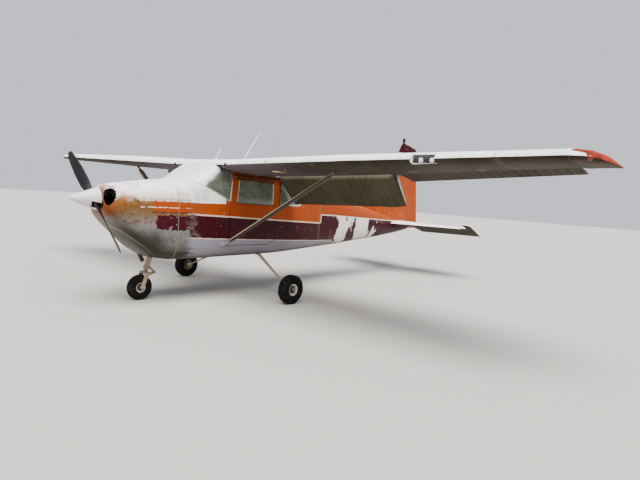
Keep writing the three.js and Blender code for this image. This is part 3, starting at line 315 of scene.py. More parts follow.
def livery(tree, colours, sizes, place, spot):
    """The bands in side view: orange, maroon with cream edges, grey belly and the white top of the nose."""
    station, x, height = spot
    rear_block = 3.0  # the maroon band steps up here
    top_edge = [
        (-1.0, 1.306), (2.99, 1.132), (rear_block, 1.283), (3.45, 1.27), (4.23, 1.235),
        (5.35, 1.185), (6.8, 1.12),
    ]
    low_edge = [(-1.0, 0.972), (1.1, 0.88), (2.9, 0.815), (3.45, 0.8), (3.8, 0.62), (6.8, 0.6)]
    above_top = combine(tree, "SUBTRACT", height, edge_height(tree, x, top_edge))
    above_low = combine(tree, "SUBTRACT", height, edge_height(tree, x, low_edge))
    blur, half = 0.002, sizes.line / 2
    maroon = combine(
        tree, "MULTIPLY", step(tree, above_top, blur, -blur), step(tree, above_low, -blur, blur)
    )
    lines = [
        step(tree, combine(tree, "ABSOLUTE", gap), width + blur, width)
        for gap, width in ((above_top, half), (above_low, half * 0.6))
    ]
    riser = patch(tree, station, height, (rear_block - half, rear_block + half), (1.132, 1.29), blur)

    faded = combine(tree, "MULTIPLY", blotches(tree, place, 0.5, 0.45, 0.75), 0.7)
    colour = coat(tree, colours.orange, "93481c", faded)
    # Painted shade darkens the strip between the windows and the roof, under the wing
    darkening = patch(tree, station, height, (0.9, 2.42), (1.785, 2.2), 0.02)
    colour = coat(tree, colour, "4a2f1e", darkening, 0.8)
    # The top of the nose is white as far as the windshield
    boot = combine(tree, "MULTIPLY", step(tree, height, 1.412, 1.418), step(tree, station, 0.78, 0.76))
    colour = coat(tree, colour, colours.white, boot)
    colour = coat(tree, colour, colours.maroon, maroon)
    colour = coat(tree, colour, colours.belly, step(tree, above_low, blur, -blur))
    colour = coat(tree, colour, colours.cream, combine(tree, "MAXIMUM", riser, *lines))
    return colour, maroon


def peeled_sheets(tree, colour, place, x, maroon):
    """White undercoat where the paint has torn off the rear of the maroon band in broad ragged sheets."""
    inside = combine(tree, "MULTIPLY", step(tree, x, 3.0, 3.12), step(tree, x, 5.5, 5.2), maroon)
    # The tears are drawn taller than the band, so that they cross it from edge to edge
    sheets = combine(
        tree, "MULTIPLY", blotches(tree, place, 0.55, 0.485, 0.505, 9.0, (1, 1, 0.45)), inside
    )
    scratches = combine(tree, "MULTIPLY", blotches(tree, place, 0.4, 0.56, 0.66, 8.0), inside, 0.4)
    colour = coat(tree, colour, "a3707c", scratches)
    return coat(tree, colour, "e6dcd6", sheets)


def worn_nose(tree, colour, colours, place, shaken, down):
    """The stripped nose: white above, stained primer midway, grey jaw, and two patches of paint left."""
    x, _, z = add(tree, "ShaderNodeSeparateXYZ", {0: place}).outputs
    rough_x, rough_z = shaken(x, 0.16), shaken(z, 0.14)
    tallest = 2.0
    tones = [
        (0.34, "45423b"),
        (0.45, "6c6a68"),
        (0.55, "78736f"),
        (0.62, "6d563c"),
        (0.67, "674620"),
        (0.705, "7f603c"),
        (0.735, "dcd0c8"),
        (0.80, "f2f0ee"),
    ]
    worn = add(
        tree,
        "ShaderNodeValToRGB",
        {"Fac": combine(tree, "DIVIDE", rough_z, tallest)},
        stops=[(height, linear(code)) for height, code in tones],
    ).outputs[0]
    # Rust-brown stains on the primer, and oil that darkens the front of the jaw
    stains = combine(
        tree,
        "MULTIPLY",
        blotches(tree, place, 0.09, 0.5, 0.66),
        patch(tree, x, z, (-0.8, 0.1), (1.1, 1.44), 0.05),
    )
    worn = coat(tree, worn, "5e3716", stains, 0.8)
    jaw = combine(tree, "MULTIPLY", patch(tree, rough_x, rough_z, (-0.7, -0.2), (0.4, 1.0), 0.12), 0.85)
    worn = coat(tree, worn, "2b2a22", jaw)
    oil = combine(
        tree, "MULTIPLY", blotches(tree, place, 0.11, 0.46, 0.68, 6.0), step(tree, z, 1.06, 0.9), 0.6
    )
    worn = coat(tree, worn, "3c3a35", oil)
    # Faces of the chin that look down are painted near black: painted shade
    chin = combine(tree, "MULTIPLY", step(tree, down, 0.35, 0.75), step(tree, z, 1.2, 1.0), 0.9)
    worn = coat(tree, worn, "23221b", chin)
    # The jaw's lower lip, a line that drops aft
    lip = combine(tree, "ADD", z, combine(tree, "MULTIPLY", x, 0.76))
    rim = combine(
        tree,
        "MULTIPLY",
        step(tree, lip, 0.478, 0.482),
        step(tree, lip, 0.494, 0.49),
        step(tree, x, -0.2, -0.3),
    )
    worn = coat(tree, worn, "6f5f48", rim)
    # Heat has turned the paint round the cooling inlets orange-brown
    beside = combine(tree, "ABSOLUTE", combine(tree, "SUBTRACT", z, 1.438))
    behind = combine(tree, "MULTIPLY", combine(tree, "ADD", x, 0.8), 1.2)
    distance = combine(tree, "ADD", beside, behind)
    scorched = combine(
        tree, "MULTIPLY", step(tree, distance, 0.24, 0.1), blotches(tree, place, 0.1, 0.36, 0.56)
    )
    worn = coat(tree, worn, "8f4a20", scorched, 0.8)

    kept_orange = patch(tree, shaken(x, 0.04), z, (-0.37, 0.3), (1.275, 1.415), 0.004)
    kept_maroon = combine(
        tree,
        "MULTIPLY",
        patch(tree, rough_x, rough_z, (-0.32, 0.3), (1.03, 1.235), 0.008),
        blotches(tree, place, 0.07, 0.36, 0.4),
    )
    stripped = step(tree, shaken(x, 0.5), 0.3, 0.1)
    colour = coat(tree, colour, worn, stripped)
    colour = coat(tree, colour, colours.orange, kept_orange, stripped)
    colour = coat(tree, colour, "3a0716", kept_maroon, stripped)
    dark = combine(
        tree, "MULTIPLY", patch(tree, x, shaken(z, 0.02), (-0.4, 0.2), (1.262, 1.277), 0.004), stripped
    )
    colour = coat(tree, colour, "5a1420", dark)
    thin = [
        patch(tree, x, shaken(z, 0.02), (-0.54, 0.2), (at - 0.006, at + 0.006), 0.003)
        for at in (1.425, 1.335)
    ]
    line = combine(
        tree, "MULTIPLY", combine(tree, "MAXIMUM", *thin), blotches(tree, place, 0.06, 0.4, 0.5), stripped
    )
    colour = coat(tree, colour, "e8c9b8", line)

    # Thin grime lies evenly over the white top
    above = patch(tree, x, z, (-0.7, 0.6), (1.44, 1.72), 0.08)
    darkening = combine(tree, "MULTIPLY", blotches(tree, place, 0.3, 0.46, 0.7, 7.0), above, 0.5)
    return coat(tree, colour, "8f8678", darkening)


def wing_paint(name, colours, sizes, beads=0.0, primed=False, root=False):
    """White enamel on aluminium sheet, chalky above, and darker below as painted shade under streaks of oily
    dirt.

    Control surfaces have beads pressed into their skins, which show as fine ridges from nose to tail. The
    flaps have green primer on every face but the upper one, dark as painted shade like the undersides.
    """
    material, tree, shader = new_material(name, Roughness=0.6, IOR=1.5, Specular_IOR_Level=0.03)
    place, normal = place_of(tree)
    x, y, z = add(tree, "ShaderNodeSeparateXYZ", {0: place}).outputs
    aft, _, up = add(tree, "ShaderNodeSeparateXYZ", {0: normal}).outputs
    # Faces that look down are painted darker, with an uneven edge: painted shade
    uneven = combine(
        tree, "MULTIPLY", combine(tree, "SUBTRACT", blotches(tree, place, 0.5, 0.2, 0.8), 0.5), 0.12
    )
    below = step(tree, combine(tree, "ADD", up, uneven), 0.02, -0.22)
    chalk = combine(tree, "MULTIPLY", blotches(tree, place, 0.35, 0.4, 0.8), 0.6)
    colour = coat(tree, colours.white, "c3bdb5", chalk)
    # Rain draws dirt aft from the nose in narrow streaks
    washed = combine(tree, "MULTIPLY", blotches(tree, place, 0.05, 0.48, 0.8, 4.0, (0.12, 1, 1)), 0.55)
    colour = coat(tree, colour, "8f877a", washed)
    # Below the wings and the tail: painted shade, with streaks of dirt through it
    streaks = blotches(tree, place, 0.45, 0.35, 0.75, 6.0, (0.4, 1, 1))
    below_tone = coat(tree, colours.underside, "29241c", streaks)
    if root:
        # The painted shade and dirt below are lighter near the cabin
        below_tone = coat(tree, below_tone, "655a60", step(tree, combine(tree, "ABSOLUTE", y), 2.6, 0.8), 0.8)
    if primed:
        # On the flaps a dark primer green takes the underside's place, dark as painted shade on every face
        # that doesn't look aft
        below = combine(tree, "MAXIMUM", below, step(tree, aft, 0.35, 0.15))
        below_tone = coat(tree, colours.primer, "423d2f", streaks)
    colour = coat(tree, colour, below_tone, below)
    chips = blotches(tree, place, 0.05, 0.69, 0.72)
    colour = coat(tree, colour, "8f8b85", chips, 0.6)
    if beads:
        wave = combine(tree, "SINE", combine(tree, "MULTIPLY", y, 2 * math.pi / beads))
        heights = [combine(tree, "MULTIPLY", step(tree, wave, -0.2, 1.0), 4.0)]
        colour = coat(tree, colour, "5d574e", step(tree, wave, -0.8, -1.0), 0.4)
    else:
        ribs = dots(tree, x, y, sizes.rivet_pitch, 0.38, sizes.rivet)
        spars = dots(tree, y, x, sizes.rivet_pitch, 0.33, sizes.rivet)
        marks = combine(tree, "MAXIMUM", ribs, spars)
        # Sheets lap at the spar and between the ribs, and grime darkens each lap
        laps = [
            step(tree, combine(tree, "ABSOLUTE", combine(tree, "SUBTRACT", x, spar)), 0.004, 0.001)
            for spar in (0.86, 1.33)
        ]
        turn = add(tree, "ShaderNodeMath", {0: y, 1: 1.14}, operation="PINGPONG").outputs[0]
        laps.append(step(tree, turn, 0.004, 0.001))
        lap = combine(tree, "MAXIMUM", *laps)
        darkening = combine(
            tree, "MULTIPLY", step(tree, turn, 0.09, 0.0), blotches(tree, place, 0.08, 0.35, 0.7), 0.4
        )
        colour = coat(tree, colour, "6d6559", darkening)
        heights = [marks, combine(tree, "MULTIPLY", lap, -2.0)]
        dark = combine(
            tree, "MAXIMUM", combine(tree, "MULTIPLY", marks, 0.45), combine(tree, "MULTIPLY", lap, 0.7)
        )
        colour = coat(tree, colour, "3a3733", dark)
    surface(tree, shader, colour, 0.0016, *heights, place=place, noises=((2.6, 1, 3.0),))
    return material


def tip_paint(name, colours):
    """Sprayed gel coat on moulded glass fibre: faded red above, darkened below as painted shade with dirt,
    white at its leading edge.
    """
    low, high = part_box("wing_tip_left")
    material, tree, shader = new_material(name, Roughness=0.6, Specular_IOR_Level=0.05)
    place, normal = place_of(tree)
    x = add(tree, "ShaderNodeSeparateXYZ", {0: place}).outputs[0]
    up = add(tree, "ShaderNodeSeparateXYZ", {0: normal}).outputs[2]
    tone = coat(tree, colours.tip, "5b2214", blotches(tree, place, 0.16, 0.45, 0.7))
    start, end = low.x - FIREWALL, high.x - FIREWALL
    tone = coat(tree, tone, colours.white, step(tree, x, start + 0.07, start + 0.055))
    tone = coat(tree, tone, "1d1f2a", step(tree, x, end - 0.10, end - 0.03))
    # Faces that look down are painted dark: painted shade with dirt
    below_tone = coat(tree, "3b2c1f", "2a241b", blotches(tree, place, 0.25, 0.4, 0.7))
    tone = coat(tree, tone, below_tone, step(tree, up, -0.2, -0.5))
    surface(tree, shader, tone, 0.0008, place=place, noises=((40, 3, 1),))
    return material


def tail_paint(name, colours, sizes):
    """Orange enamel on the fin and rudder, with a dark maroon cap."""
    material, tree, shader = new_material(name, Roughness=0.5, IOR=1.5, Specular_IOR_Level=0.1)
    place, _ = place_of(tree)
    x, y, z = add(tree, "ShaderNodeSeparateXYZ", {0: place}).outputs
    faded = combine(tree, "MULTIPLY", blotches(tree, place, 0.3, 0.4, 0.8), 0.5)
    colour = coat(tree, colours.orange, "a0521f", faded)
    colour = coat(tree, colour, colours.maroon, step(tree, z, 2.735, 2.745))
    line = combine(tree, "MULTIPLY", step(tree, z, 2.715, 2.719), step(tree, z, 2.742, 2.738))
    colour = coat(tree, colour, colours.cream, line)
    chips = blotches(tree, place, 0.05, 0.66, 0.70)
    colour = coat(tree, colour, "d9c4ae", chips, 0.7)
    rows = dots(tree, x, z, sizes.rivet_pitch, 0.3, sizes.rivet)
    posts = dots(tree, z, x, sizes.rivet_pitch, 0.3, sizes.rivet)
    marks = combine(tree, "MAXIMUM", rows, posts)
    colour = coat(tree, colour, "5a2a16", marks, 0.4)
    surface(tree, shader, colour, 0.0015, marks, place=place, noises=((3.0, 1, 2.0),))
    return material


def worn_paint(
    name,
    base,
    under,
    size=0.06,
    amount=(0.62, 0.7),
    roughness=0.5,
    metallic=0.0,
    painted_shade_below=None,
    gloss=0.15,
):
    """Paint or metal with a second tone in spots of one size, and a darker tone below as painted shade if
    one is given.
    """
    material, tree, shader = new_material(
        name, Roughness=roughness, Metallic=metallic, Specular_IOR_Level=gloss
    )
    place, normal = place_of(tree)
    tone = coat(tree, base, under, blotches(tree, place, size, *amount))
    cloud = combine(tree, "MULTIPLY", blotches(tree, place, size * 6, 0.4, 0.8), 0.35)
    tone = coat(tree, tone, under, cloud)
    if painted_shade_below:
        # Faces that look down take the darker tone: painted shade
        up = add(tree, "ShaderNodeSeparateXYZ", {0: normal}).outputs[2]
        tone = coat(tree, tone, painted_shade_below, step(tree, up, 0.02, -0.2))
    surface(tree, shader, tone, size * 0.01, place=place, noises=((0.5 / size, 4, 1),))
    return material


def rim_paint(name, node):
    """Cast magnesium with chalky grey paint on its flange, near black round its hub, and dust in spots."""
    low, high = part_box(node)
    centre, radius = (low + high) / 2, (high.z - low.z) / 2
    material, tree, shader = new_material(name, Roughness=0.6)
    place, _ = place_of(tree)
    x, _, z = add(tree, "ShaderNodeSeparateXYZ", {0: place}).outputs
    offsets = [combine(tree, "SUBTRACT", x, centre.x - FIREWALL), combine(tree, "SUBTRACT", z, centre.z)]
    squares = [combine(tree, "MULTIPLY", offset, offset) for offset in offsets]
    reach = combine(tree, "SQRT", combine(tree, "ADD", *squares))
    tone = coat(tree, "2d2a28", "b9b2aa", step(tree, reach, radius * 0.62, radius * 0.74))
    dust = combine(tree, "MULTIPLY", blotches(tree, place, 0.03, 0.5, 0.7), 0.5)
    surface(tree, shader, coat(tree, tone, "3c3834", dust), 0.0005, place=place, noises=((150, 3, 1),))
    return material


def acrylic(name, tint, roughness, transmission, haze, front=None):
    """Old cast acrylic sheet: tinted by age, crazed in fine spots that scatter light.

    Faces of a windshield that look forward get a pale tint and less transmission: a painted reflection of
    the sky.
    """
    material, tree, shader = new_material(name, IOR=1.49, Transmission_Weight=transmission)
    place, normal = place_of(tree)
    crazing = combine(tree, "MULTIPLY", blotches(tree, place, 0.12, 0.35, 0.75), haze)
    tone = coat(tree, tint, "c9cbc4", crazing)
    if front:
        # Forward faces are painted pale and made less clear: a painted reflection of the sky
        ahead = add(tree, "ShaderNodeSeparateXYZ", {0: normal}).outputs[0]
        facing = step(tree, ahead, -0.10, -0.22)
        tone = coat(tree, tone, front, facing)
        clear = add(tree, "ShaderNodeMapRange", {"Value": facing, "To Min": transmission, "To Max": 0.12})
        tree.links.new(clear.outputs[0], shader.inputs["Transmission Weight"])
    tree.links.new(tone, shader.inputs["Base Color"])
    gloss = add(
        tree, "ShaderNodeMapRange", {"Value": crazing, "To Min": roughness, "To Max": roughness + 0.35}
    )
    tree.links.new(gloss.outputs[0], shader.inputs["Roughness"])
    return material


def rubber(name, base="0e0e0e", dusty="37322b"):
    """Vulcanised rubber: near black, dusty where it meets the ground."""
    material, tree, shader = new_material(name, Roughness=0.9, Specular_IOR_Level=0.1)
    place, _ = place_of(tree)
    dust = combine(tree, "MULTIPLY", blotches(tree, place, 0.05, 0.4, 0.75), 0.5)
    surface(tree, shader, coat(tree, base, dusty, dust), 0.0006, place=place, noises=((220, 2, 1),))
    return material


def woven_cloth(name, base, under):
    """Seat cloth of coarse woven wool. Its threads are drawn 3 mm wide so that they show."""
    material, tree, shader = new_material(name, Roughness=0.9, Sheen_Weight=0.3)
    place, _ = place_of(tree)
    thread = 0.003
    x, y, z = add(tree, "ShaderNodeSeparateXYZ", {0: place}).outputs
    waves = [
        combine(tree, "SINE", combine(tree, "MULTIPLY", axis, math.pi / thread))
        for axis in (combine(tree, "ADD", x, z), y)
    ]
    weave = combine(tree, "MULTIPLY", *waves)
    tone = coat(tree, base, under, step(tree, weave, -0.6, 0.6))
    fade = combine(tree, "MULTIPLY", blotches(tree, place, 0.2, 0.4, 0.8), 0.5)
    surface(tree, shader, coat(tree, tone, "8b8272", fade), 0.0008, weave)
    return material


# Mesh helpers


def carry(made, node, *materials):
    """Gives a piece its materials and lets it move with a solid."""
    made.data.materials.clear()
    for material in materials:
        made.data.materials.append(material)
    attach(made, BODY_OF[node])
    return made


def from_bmesh(name, bm, smooth=40):
    """Turns a bmesh into an object whose edges stay sharp above an angle in degrees."""
    mesh = bpy.data.meshes.new(name)
    bm.to_mesh(mesh)
    bm.free()
    mesh.shade_smooth()
    mesh.set_sharp_from_angle(angle=math.radians(smooth))
    made = bpy.data.objects.new(name, mesh)
    bpy.context.scene.collection.objects.link(made)
    return made


def skin_of(node, material, smooth=32, lining=None):
    """A welded surface over a solid, so that its curves shade evenly and its edges stay crisp.

    Faces that look at the cabin's middle line get the lining.
    """
    bm = bmesh.new()
    bm.from_mesh(frame["nodes"][node].data)
    bmesh.ops.remove_doubles(bm, verts=bm.verts, dist=WELD)
    bmesh.ops.dissolve_degenerate(bm, edges=bm.edges, dist=1e-6)
    if lining:
        for face in bm.faces:
            spot = face.calc_center_median()
            outward = (spot - Vector((spot.x, 0, 1.3))).normalized()
            face.material_index = int(face.normal.dot(outward) < -0.5)
    made = from_bmesh(f"{node}_skin", bm, smooth)
    weighted = made.modifiers.new("Even shading", "WEIGHTED_NORMAL")
    weighted.keep_sharp = True
    carry(made, node, material, *([lining] if lining else []))
    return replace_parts(made, node)


def turned(profile, axis_from, axis_to, segments=64):
    """A surface of revolution from rows of radius and distance along the axis."""
    start, end = Vector(axis_from), Vector(axis_to)
    turn = (end - start).to_track_quat("Z", "Y").to_matrix()
    bm = bmesh.new()
    rings = []
    for radius, along in profile:
        ring = []
        for i in range(segments):
            angle = 2 * math.pi * i / segments
            flat = Vector((radius * math.cos(angle), radius * math.sin(angle), along))
            ring.append(bm.verts.new(start + turn @ flat))
        rings.append(ring)
    for low, high in zip(rings, rings[1:]):
        for i in range(segments):
            j = (i + 1) % segments
            bm.faces.new((low[i], low[j], high[j], high[i]))
    return bm, rings


def close_ends(bm, rings):
    """Closes the first and last ring of a surface of revolution."""
    bm.faces.new(list(reversed(rings[0])))
    bm.faces.new(rings[-1])
    return bm


def disc(name, centre, direction, radius, thickness, segments=24):
    """A short bar such as a screw head, dial or cap, with its outer rim chamfered."""
    start = Vector(centre)
    end = start + Vector(direction).normalized() * thickness
    edge = min(radius, thickness) * 0.25
    profile = [(radius, 0), (radius, thickness - edge), (radius - edge, thickness)]
    bm, rings = turned(profile, start, end, segments)
    return from_bmesh(name, close_ends(bm, rings), 50)


def ring(name, centre, direction, inner, outer, thickness, segments=32):
    """A flat ring such as a bezel or collar, with its outer edges chamfered."""
    start = Vector(centre)
    end = start + Vector(direction).normalized() * thickness
    edge = min(outer - inner, thickness) * 0.25
    profile = [
        (inner, 0), (inner, thickness - edge), (inner + edge, thickness), (outer - edge, thickness)
    ]
    profile += [(outer, thickness - edge), (outer, 0), (inner, 0)]
    bm, _ = turned(profile, start, end, segments)
    bmesh.ops.remove_doubles(bm, verts=bm.verts, dist=1e-7)
    return from_bmesh(name, bm, 50)


def block(name, low, high, edge, turn=None):
    """A box with rounded edges, turned about its middle if a turn is given."""
    low, high = Vector(low), Vector(high)
    middle, half = (low + high) / 2, (high - low) / 2
    bm = bmesh.new()
    bmesh.ops.create_cube(bm, size=2)
    for vert in bm.verts:
        vert.co = Vector([value * reach for value, reach in zip(vert.co, half)])
    bmesh.ops.bevel(bm, geom=bm.edges, offset=edge, segments=2, affect="EDGES", profile=0.6)
    placing = Matrix.Translation(middle) @ (turn.to_4x4() if turn else Matrix.Identity(4))
    bm.transform(placing)
    return from_bmesh(name, bm, 50)


def join_pieces(name, pieces):
    """Joins small pieces into one object."""
    bm = bmesh.new()
    for piece in pieces:
        bm.from_mesh(piece.data)
        bpy.data.objects.remove(piece)
    return from_bmesh(name, bm, 50)


def surface_of(*nodes):
    """A tree of the outer faces of some solids, to find where a ray meets them."""
    bm = bmesh.new()
    for node in nodes:
        bm.from_mesh(frame["nodes"][node].data)
    tree = BVHTree.FromBMesh(bm)
    bm.free()
    return tree


def meet(tree, start, direction, gap=0.004):
    """Where a ray meets a surface, and its direction there. The ray may shift past a gap in it."""
    ray = Vector(direction).normalized()
    for shift in (
        (0, 0, 0), (gap, 0, 0), (-gap, 0, 0), (0, 0, gap), (0, 0, -gap), (0, gap, 0), (0, -gap, 0)
    ):
        place, normal, _, _ = tree.ray_cast(Vector(start) + Vector(shift), ray)
        if place is not None and normal.dot(ray) < 0:
            return place, normal
    raise RuntimeError(f"nothing carries the piece at {tuple(start)}")


def meet_side(tree, x, z, side):
    """Where one side's surface lies at a station and height, and its direction there."""
    return meet(tree, (FIREWALL + x, side * BESIDE, z), (0, -side, 0))


def side_rows(tree, outline, side, spacing=0.03, closed=True):
    """Points of an outline in side view on the surface that carries it."""
    rows = []
    ends = list(zip(outline, outline[1:]))
    if closed:
        ends.append((outline[-1], outline[0]))
    for (x0, z0), (x1, z1) in ends:
        count = max(1, round(math.hypot(x1 - x0, z1 - z0) / spacing))
        for k in range(count):
            x, z = x0 + (x1 - x0) * k / count, z0 + (z1 - z0) * k / count
            rows.append(meet_side(tree, x, z, side))
    if not closed:
        x, z = outline[-1]
        rows.append(meet_side(tree, x, z, side))
    return rows


def strip(name, rows, width, height, closed=True):
    """A flat trim strip with eased edges that runs along points of a surface."""
    bm = bmesh.new()
    sections = []
    count = len(rows)
    for i, (place, normal) in enumerate(rows):
        before = rows[i - 1][0] if closed or i else place
        after = rows[(i + 1) % count][0] if closed or i + 1 < count else place
        one, two = place - before, after - place
        if one.length < 1e-9:
            one = two
        if two.length < 1e-9:
            two = one
        along = (one.normalized() + two.normalized()).normalized()
        corner = max(0.5, along.dot(two.normalized()))
        across = normal.cross(along).normalized() * (width / 2 / corner)
        lift = normal * height
        section = [-across - normal * SINK, -across * 0.96 + lift * 0.6, -across * 0.8 + lift]
        section += [across * 0.8 + lift, across * 0.96 + lift * 0.6, across - normal * SINK]
        sections.append([bm.verts.new(place + offset) for offset in section])
    pairs = list(zip(sections, sections[1:]))
    if closed:
        pairs.append((sections[-1], sections[0]))
    for low, high in pairs:
        for k in range(len(low)):
            j = (k + 1) % len(low)
            bm.faces.new((low[k], high[k], high[j], low[j]))
    if not closed:
        bm.faces.new(sections[0])
        bm.faces.new(list(reversed(sections[-1])))
    bmesh.ops.recalc_face_normals(bm, faces=bm.faces)
    return from_bmesh(name, bm, 40)


def on_panel(side, x, y, z):
    """A point of a wing panel: station, distance out from the root and height above the root's nose."""
    slope = math.radians(DIHEDRAL)
    out = ROOT_Y + y * math.cos(slope) - z * math.sin(slope)
    return Vector((FIREWALL + x, side * out, ROOT_Z + y * math.sin(slope) + z * math.cos(slope)))


# Operators


class AIRCRAFT_OT_fuselage(Operator):
    """Nose bowl, cowls, cabin, doors and tail cone in their worn two-tone paint"""

    bl_idname = "aircraft.fuselage"
    bl_label = "Fuselage"

    def execute(self, context):
        scene = context.scene
        paint = fuselage_paint("Two-tone enamel on sheet", scene.aircraft_colours, scene.aircraft_sizes)
        lining = worn_paint("Vinyl trim, grained", "8d8474", "6f6759", 0.1, (0.5, 0.7), 0.75)
        for node in ("nose_bowl", "cowl_upper", "cowl_lower", "tail_cone"):
            skin_of(node, paint)
        for node in ("cabin_shell", "door_left", "door_right"):
            skin_of(node, paint, 32, lining)
        primer = worn_paint("Zinc primer, sprayed", "7d8064", "5f6150")
        skin_of("firewall", primer)
        skin_of("rear_bulkhead", primer)
        carpet = worn_paint("Cut-pile carpet", "2f2b28", "443d36", 0.01, (0.4, 0.7), 0.95)
        skin_of("cabin_floor", carpet)
        roof = wing_paint("Roof enamel", scene.aircraft_colours, scene.aircraft_sizes)
        skin_of("cabin_roof", roof, 32, lining)
        cowl_fasteners()
        return {"FINISHED"}


def cowl_fasteners():
    """Quarter-turn fasteners round the rear of the cowl and along its side seam."""
    steel = worn_paint("Cadmium-plated fastener", "8b8780", "4c4842", 0.02, (0.5, 0.7), 0.45, 0.7)
    seam, rear, lowest, pitch = 1.24, -0.03, 1.0, 0.105
    heights = [lowest + pitch * k for k in range(7)]
    places = [((rear, z), "cowl_upper" if z > seam else "cowl_lower") for z in heights]
    places += [((-0.62 + 0.115 * k, seam + 0.022), "cowl_upper") for k in range(5)]
    for node in ("cowl_upper", "cowl_lower"):
        tree = surface_of(node)
        pieces = []
        for (x, z), owner in places:
            if owner != node:
                continue
            for _, side in SIDES:
                spot, normal = meet_side(tree, x, z, side)
                pieces.append(disc("fastener", spot - normal * SINK, normal, 0.009, 0.0045, 12))
        carry(join_pieces(f"{node}_fasteners", pieces), node, steel)


class AIRCRAFT_OT_glass(Operator):
    """Windshield, door windows, rear windows and their seals"""

    bl_idname = "aircraft.glass"
    bl_label = "Windows"

    def execute(self, context):
        # The windshield's front is painted near white: a painted reflection of the sky
        side_tint, painted_sky_reflection = "8e9682", "eceef0"
        side = acrylic("Cast acrylic, aged green", side_tint, 0.1, 0.72, 0.45)
        front = acrylic("Cast acrylic, crazed, with painted sky reflection", side_tint, 0.14, 0.72, 0.5, painted_sky_reflection)
        for node in ("door_glass_left", "door_glass_right", "rear_window_left", "rear_window_right"):
            skin_of(node, side)
        skin_of("windshield", front)
        window_trim()
        return {"FINISHED"}


def window_trim():
    """Rubber seals round every pane, cream beading beside them and the windshield's retainer."""
    seal = rubber("Window seal, extruded rubber", "2b241f", "4b3d31")
    cream = worn_paint("Bead of sealant, painted cream", "cdbfa9", "8a7a66", 0.03, (0.5, 0.66))
    for word, side in SIDES:
        door = surface_of(f"door_{word}", f"door_glass_{word}")
        rows = side_rows(door, DOOR_WINDOW, side)
        carry(strip(f"door_seal_{word}", rows, 0.02, 0.004), f"door_{word}", seal)
        for name, low, high in (
            ("front", (0.978, 1.45), (1.016, 1.785)), ("rear", (1.722, 1.43), (1.722, 1.757))
        ):
            rows = side_rows(door, [low, high], side, closed=False)
            bead = strip(f"door_bead_{name}_{word}", rows, 0.022, 0.004, False)
            carry(bead, f"door_{word}", cream)
        shell = surface_of("cabin_shell", f"rear_window_{word}")
        rows = side_rows(shell, REAR_WINDOW, side)
        carry(strip(f"rear_seal_{word}", rows, 0.02, 0.004), "cabin_shell", seal)
        rows = side_rows(
            shell, [(1.95, 1.428), (2.376, 1.428), (2.414, 1.474), (2.36, 1.575)], side, closed=False
        )
        carry(strip(f"rear_bead_{word}", rows, 0.026, 0.004, False), "cabin_shell", cream)
    shield_retainer(cream)


def shield_retainer(material):
    """A strip that follows the lower edge of the windshield round the nose, and up both posts."""
    tree = surface_of("cabin_shell", "windshield")
    (top_x, top_z), (foot_x, foot_z) = SHIELD_TOP, SHIELD_FOOT
    middle = Vector((FIREWALL + foot_x, 0, foot_z))
    forward = Vector((top_x - foot_x, 0, top_z - foot_z)).normalized()
    rows = []
    steps = 40
    for k in range(steps + 1):
        angle = math.radians(-88 + 176 * k / steps)
        ray = forward * math.cos(angle) + Vector((0, math.sin(angle), 0))
        rows.append(meet(tree, middle + ray * 2, -ray))
    carry(strip("shield_retainer", rows, 0.03, 0.004, False), "cabin_shell", material)
    for word, side in SIDES:
        rows = side_rows(tree, [(foot_x + 0.004, foot_z + 0.01), SHIELD_REAR], side, closed=False)
        carry(strip(f"shield_post_{word}", rows, 0.022, 0.004, False), "cabin_shell", material)


class AIRCRAFT_OT_wings(Operator):
    """Wing panels, tips, flaps and ailerons"""

    bl_idname = "aircraft.wings"
    bl_label = "Wings"

    def execute(self, context):
        colours, sizes = context.scene.aircraft_colours, context.scene.aircraft_sizes
        sheet = wing_paint("Wing enamel on sheet", colours, sizes, root=True)
        beaded = wing_paint("Aileron enamel on beaded sheet", colours, sizes, 0.11)
        primed = wing_paint("Flap enamel over zinc primer", colours, sizes, 0.11, True)
        tips = tip_paint("Glass-fibre tip, sprayed", colours)
        for word, side in SIDES:
            skin_of(f"wing_{word}", sheet, 25)
            skin_of(f"flap_{word}", primed)
            skin_of(f"aileron_{word}", beaded)
            skin_of(f"wing_tip_{word}", tips)
            wing_fittings(word, side)
        return {"FINISHED"}


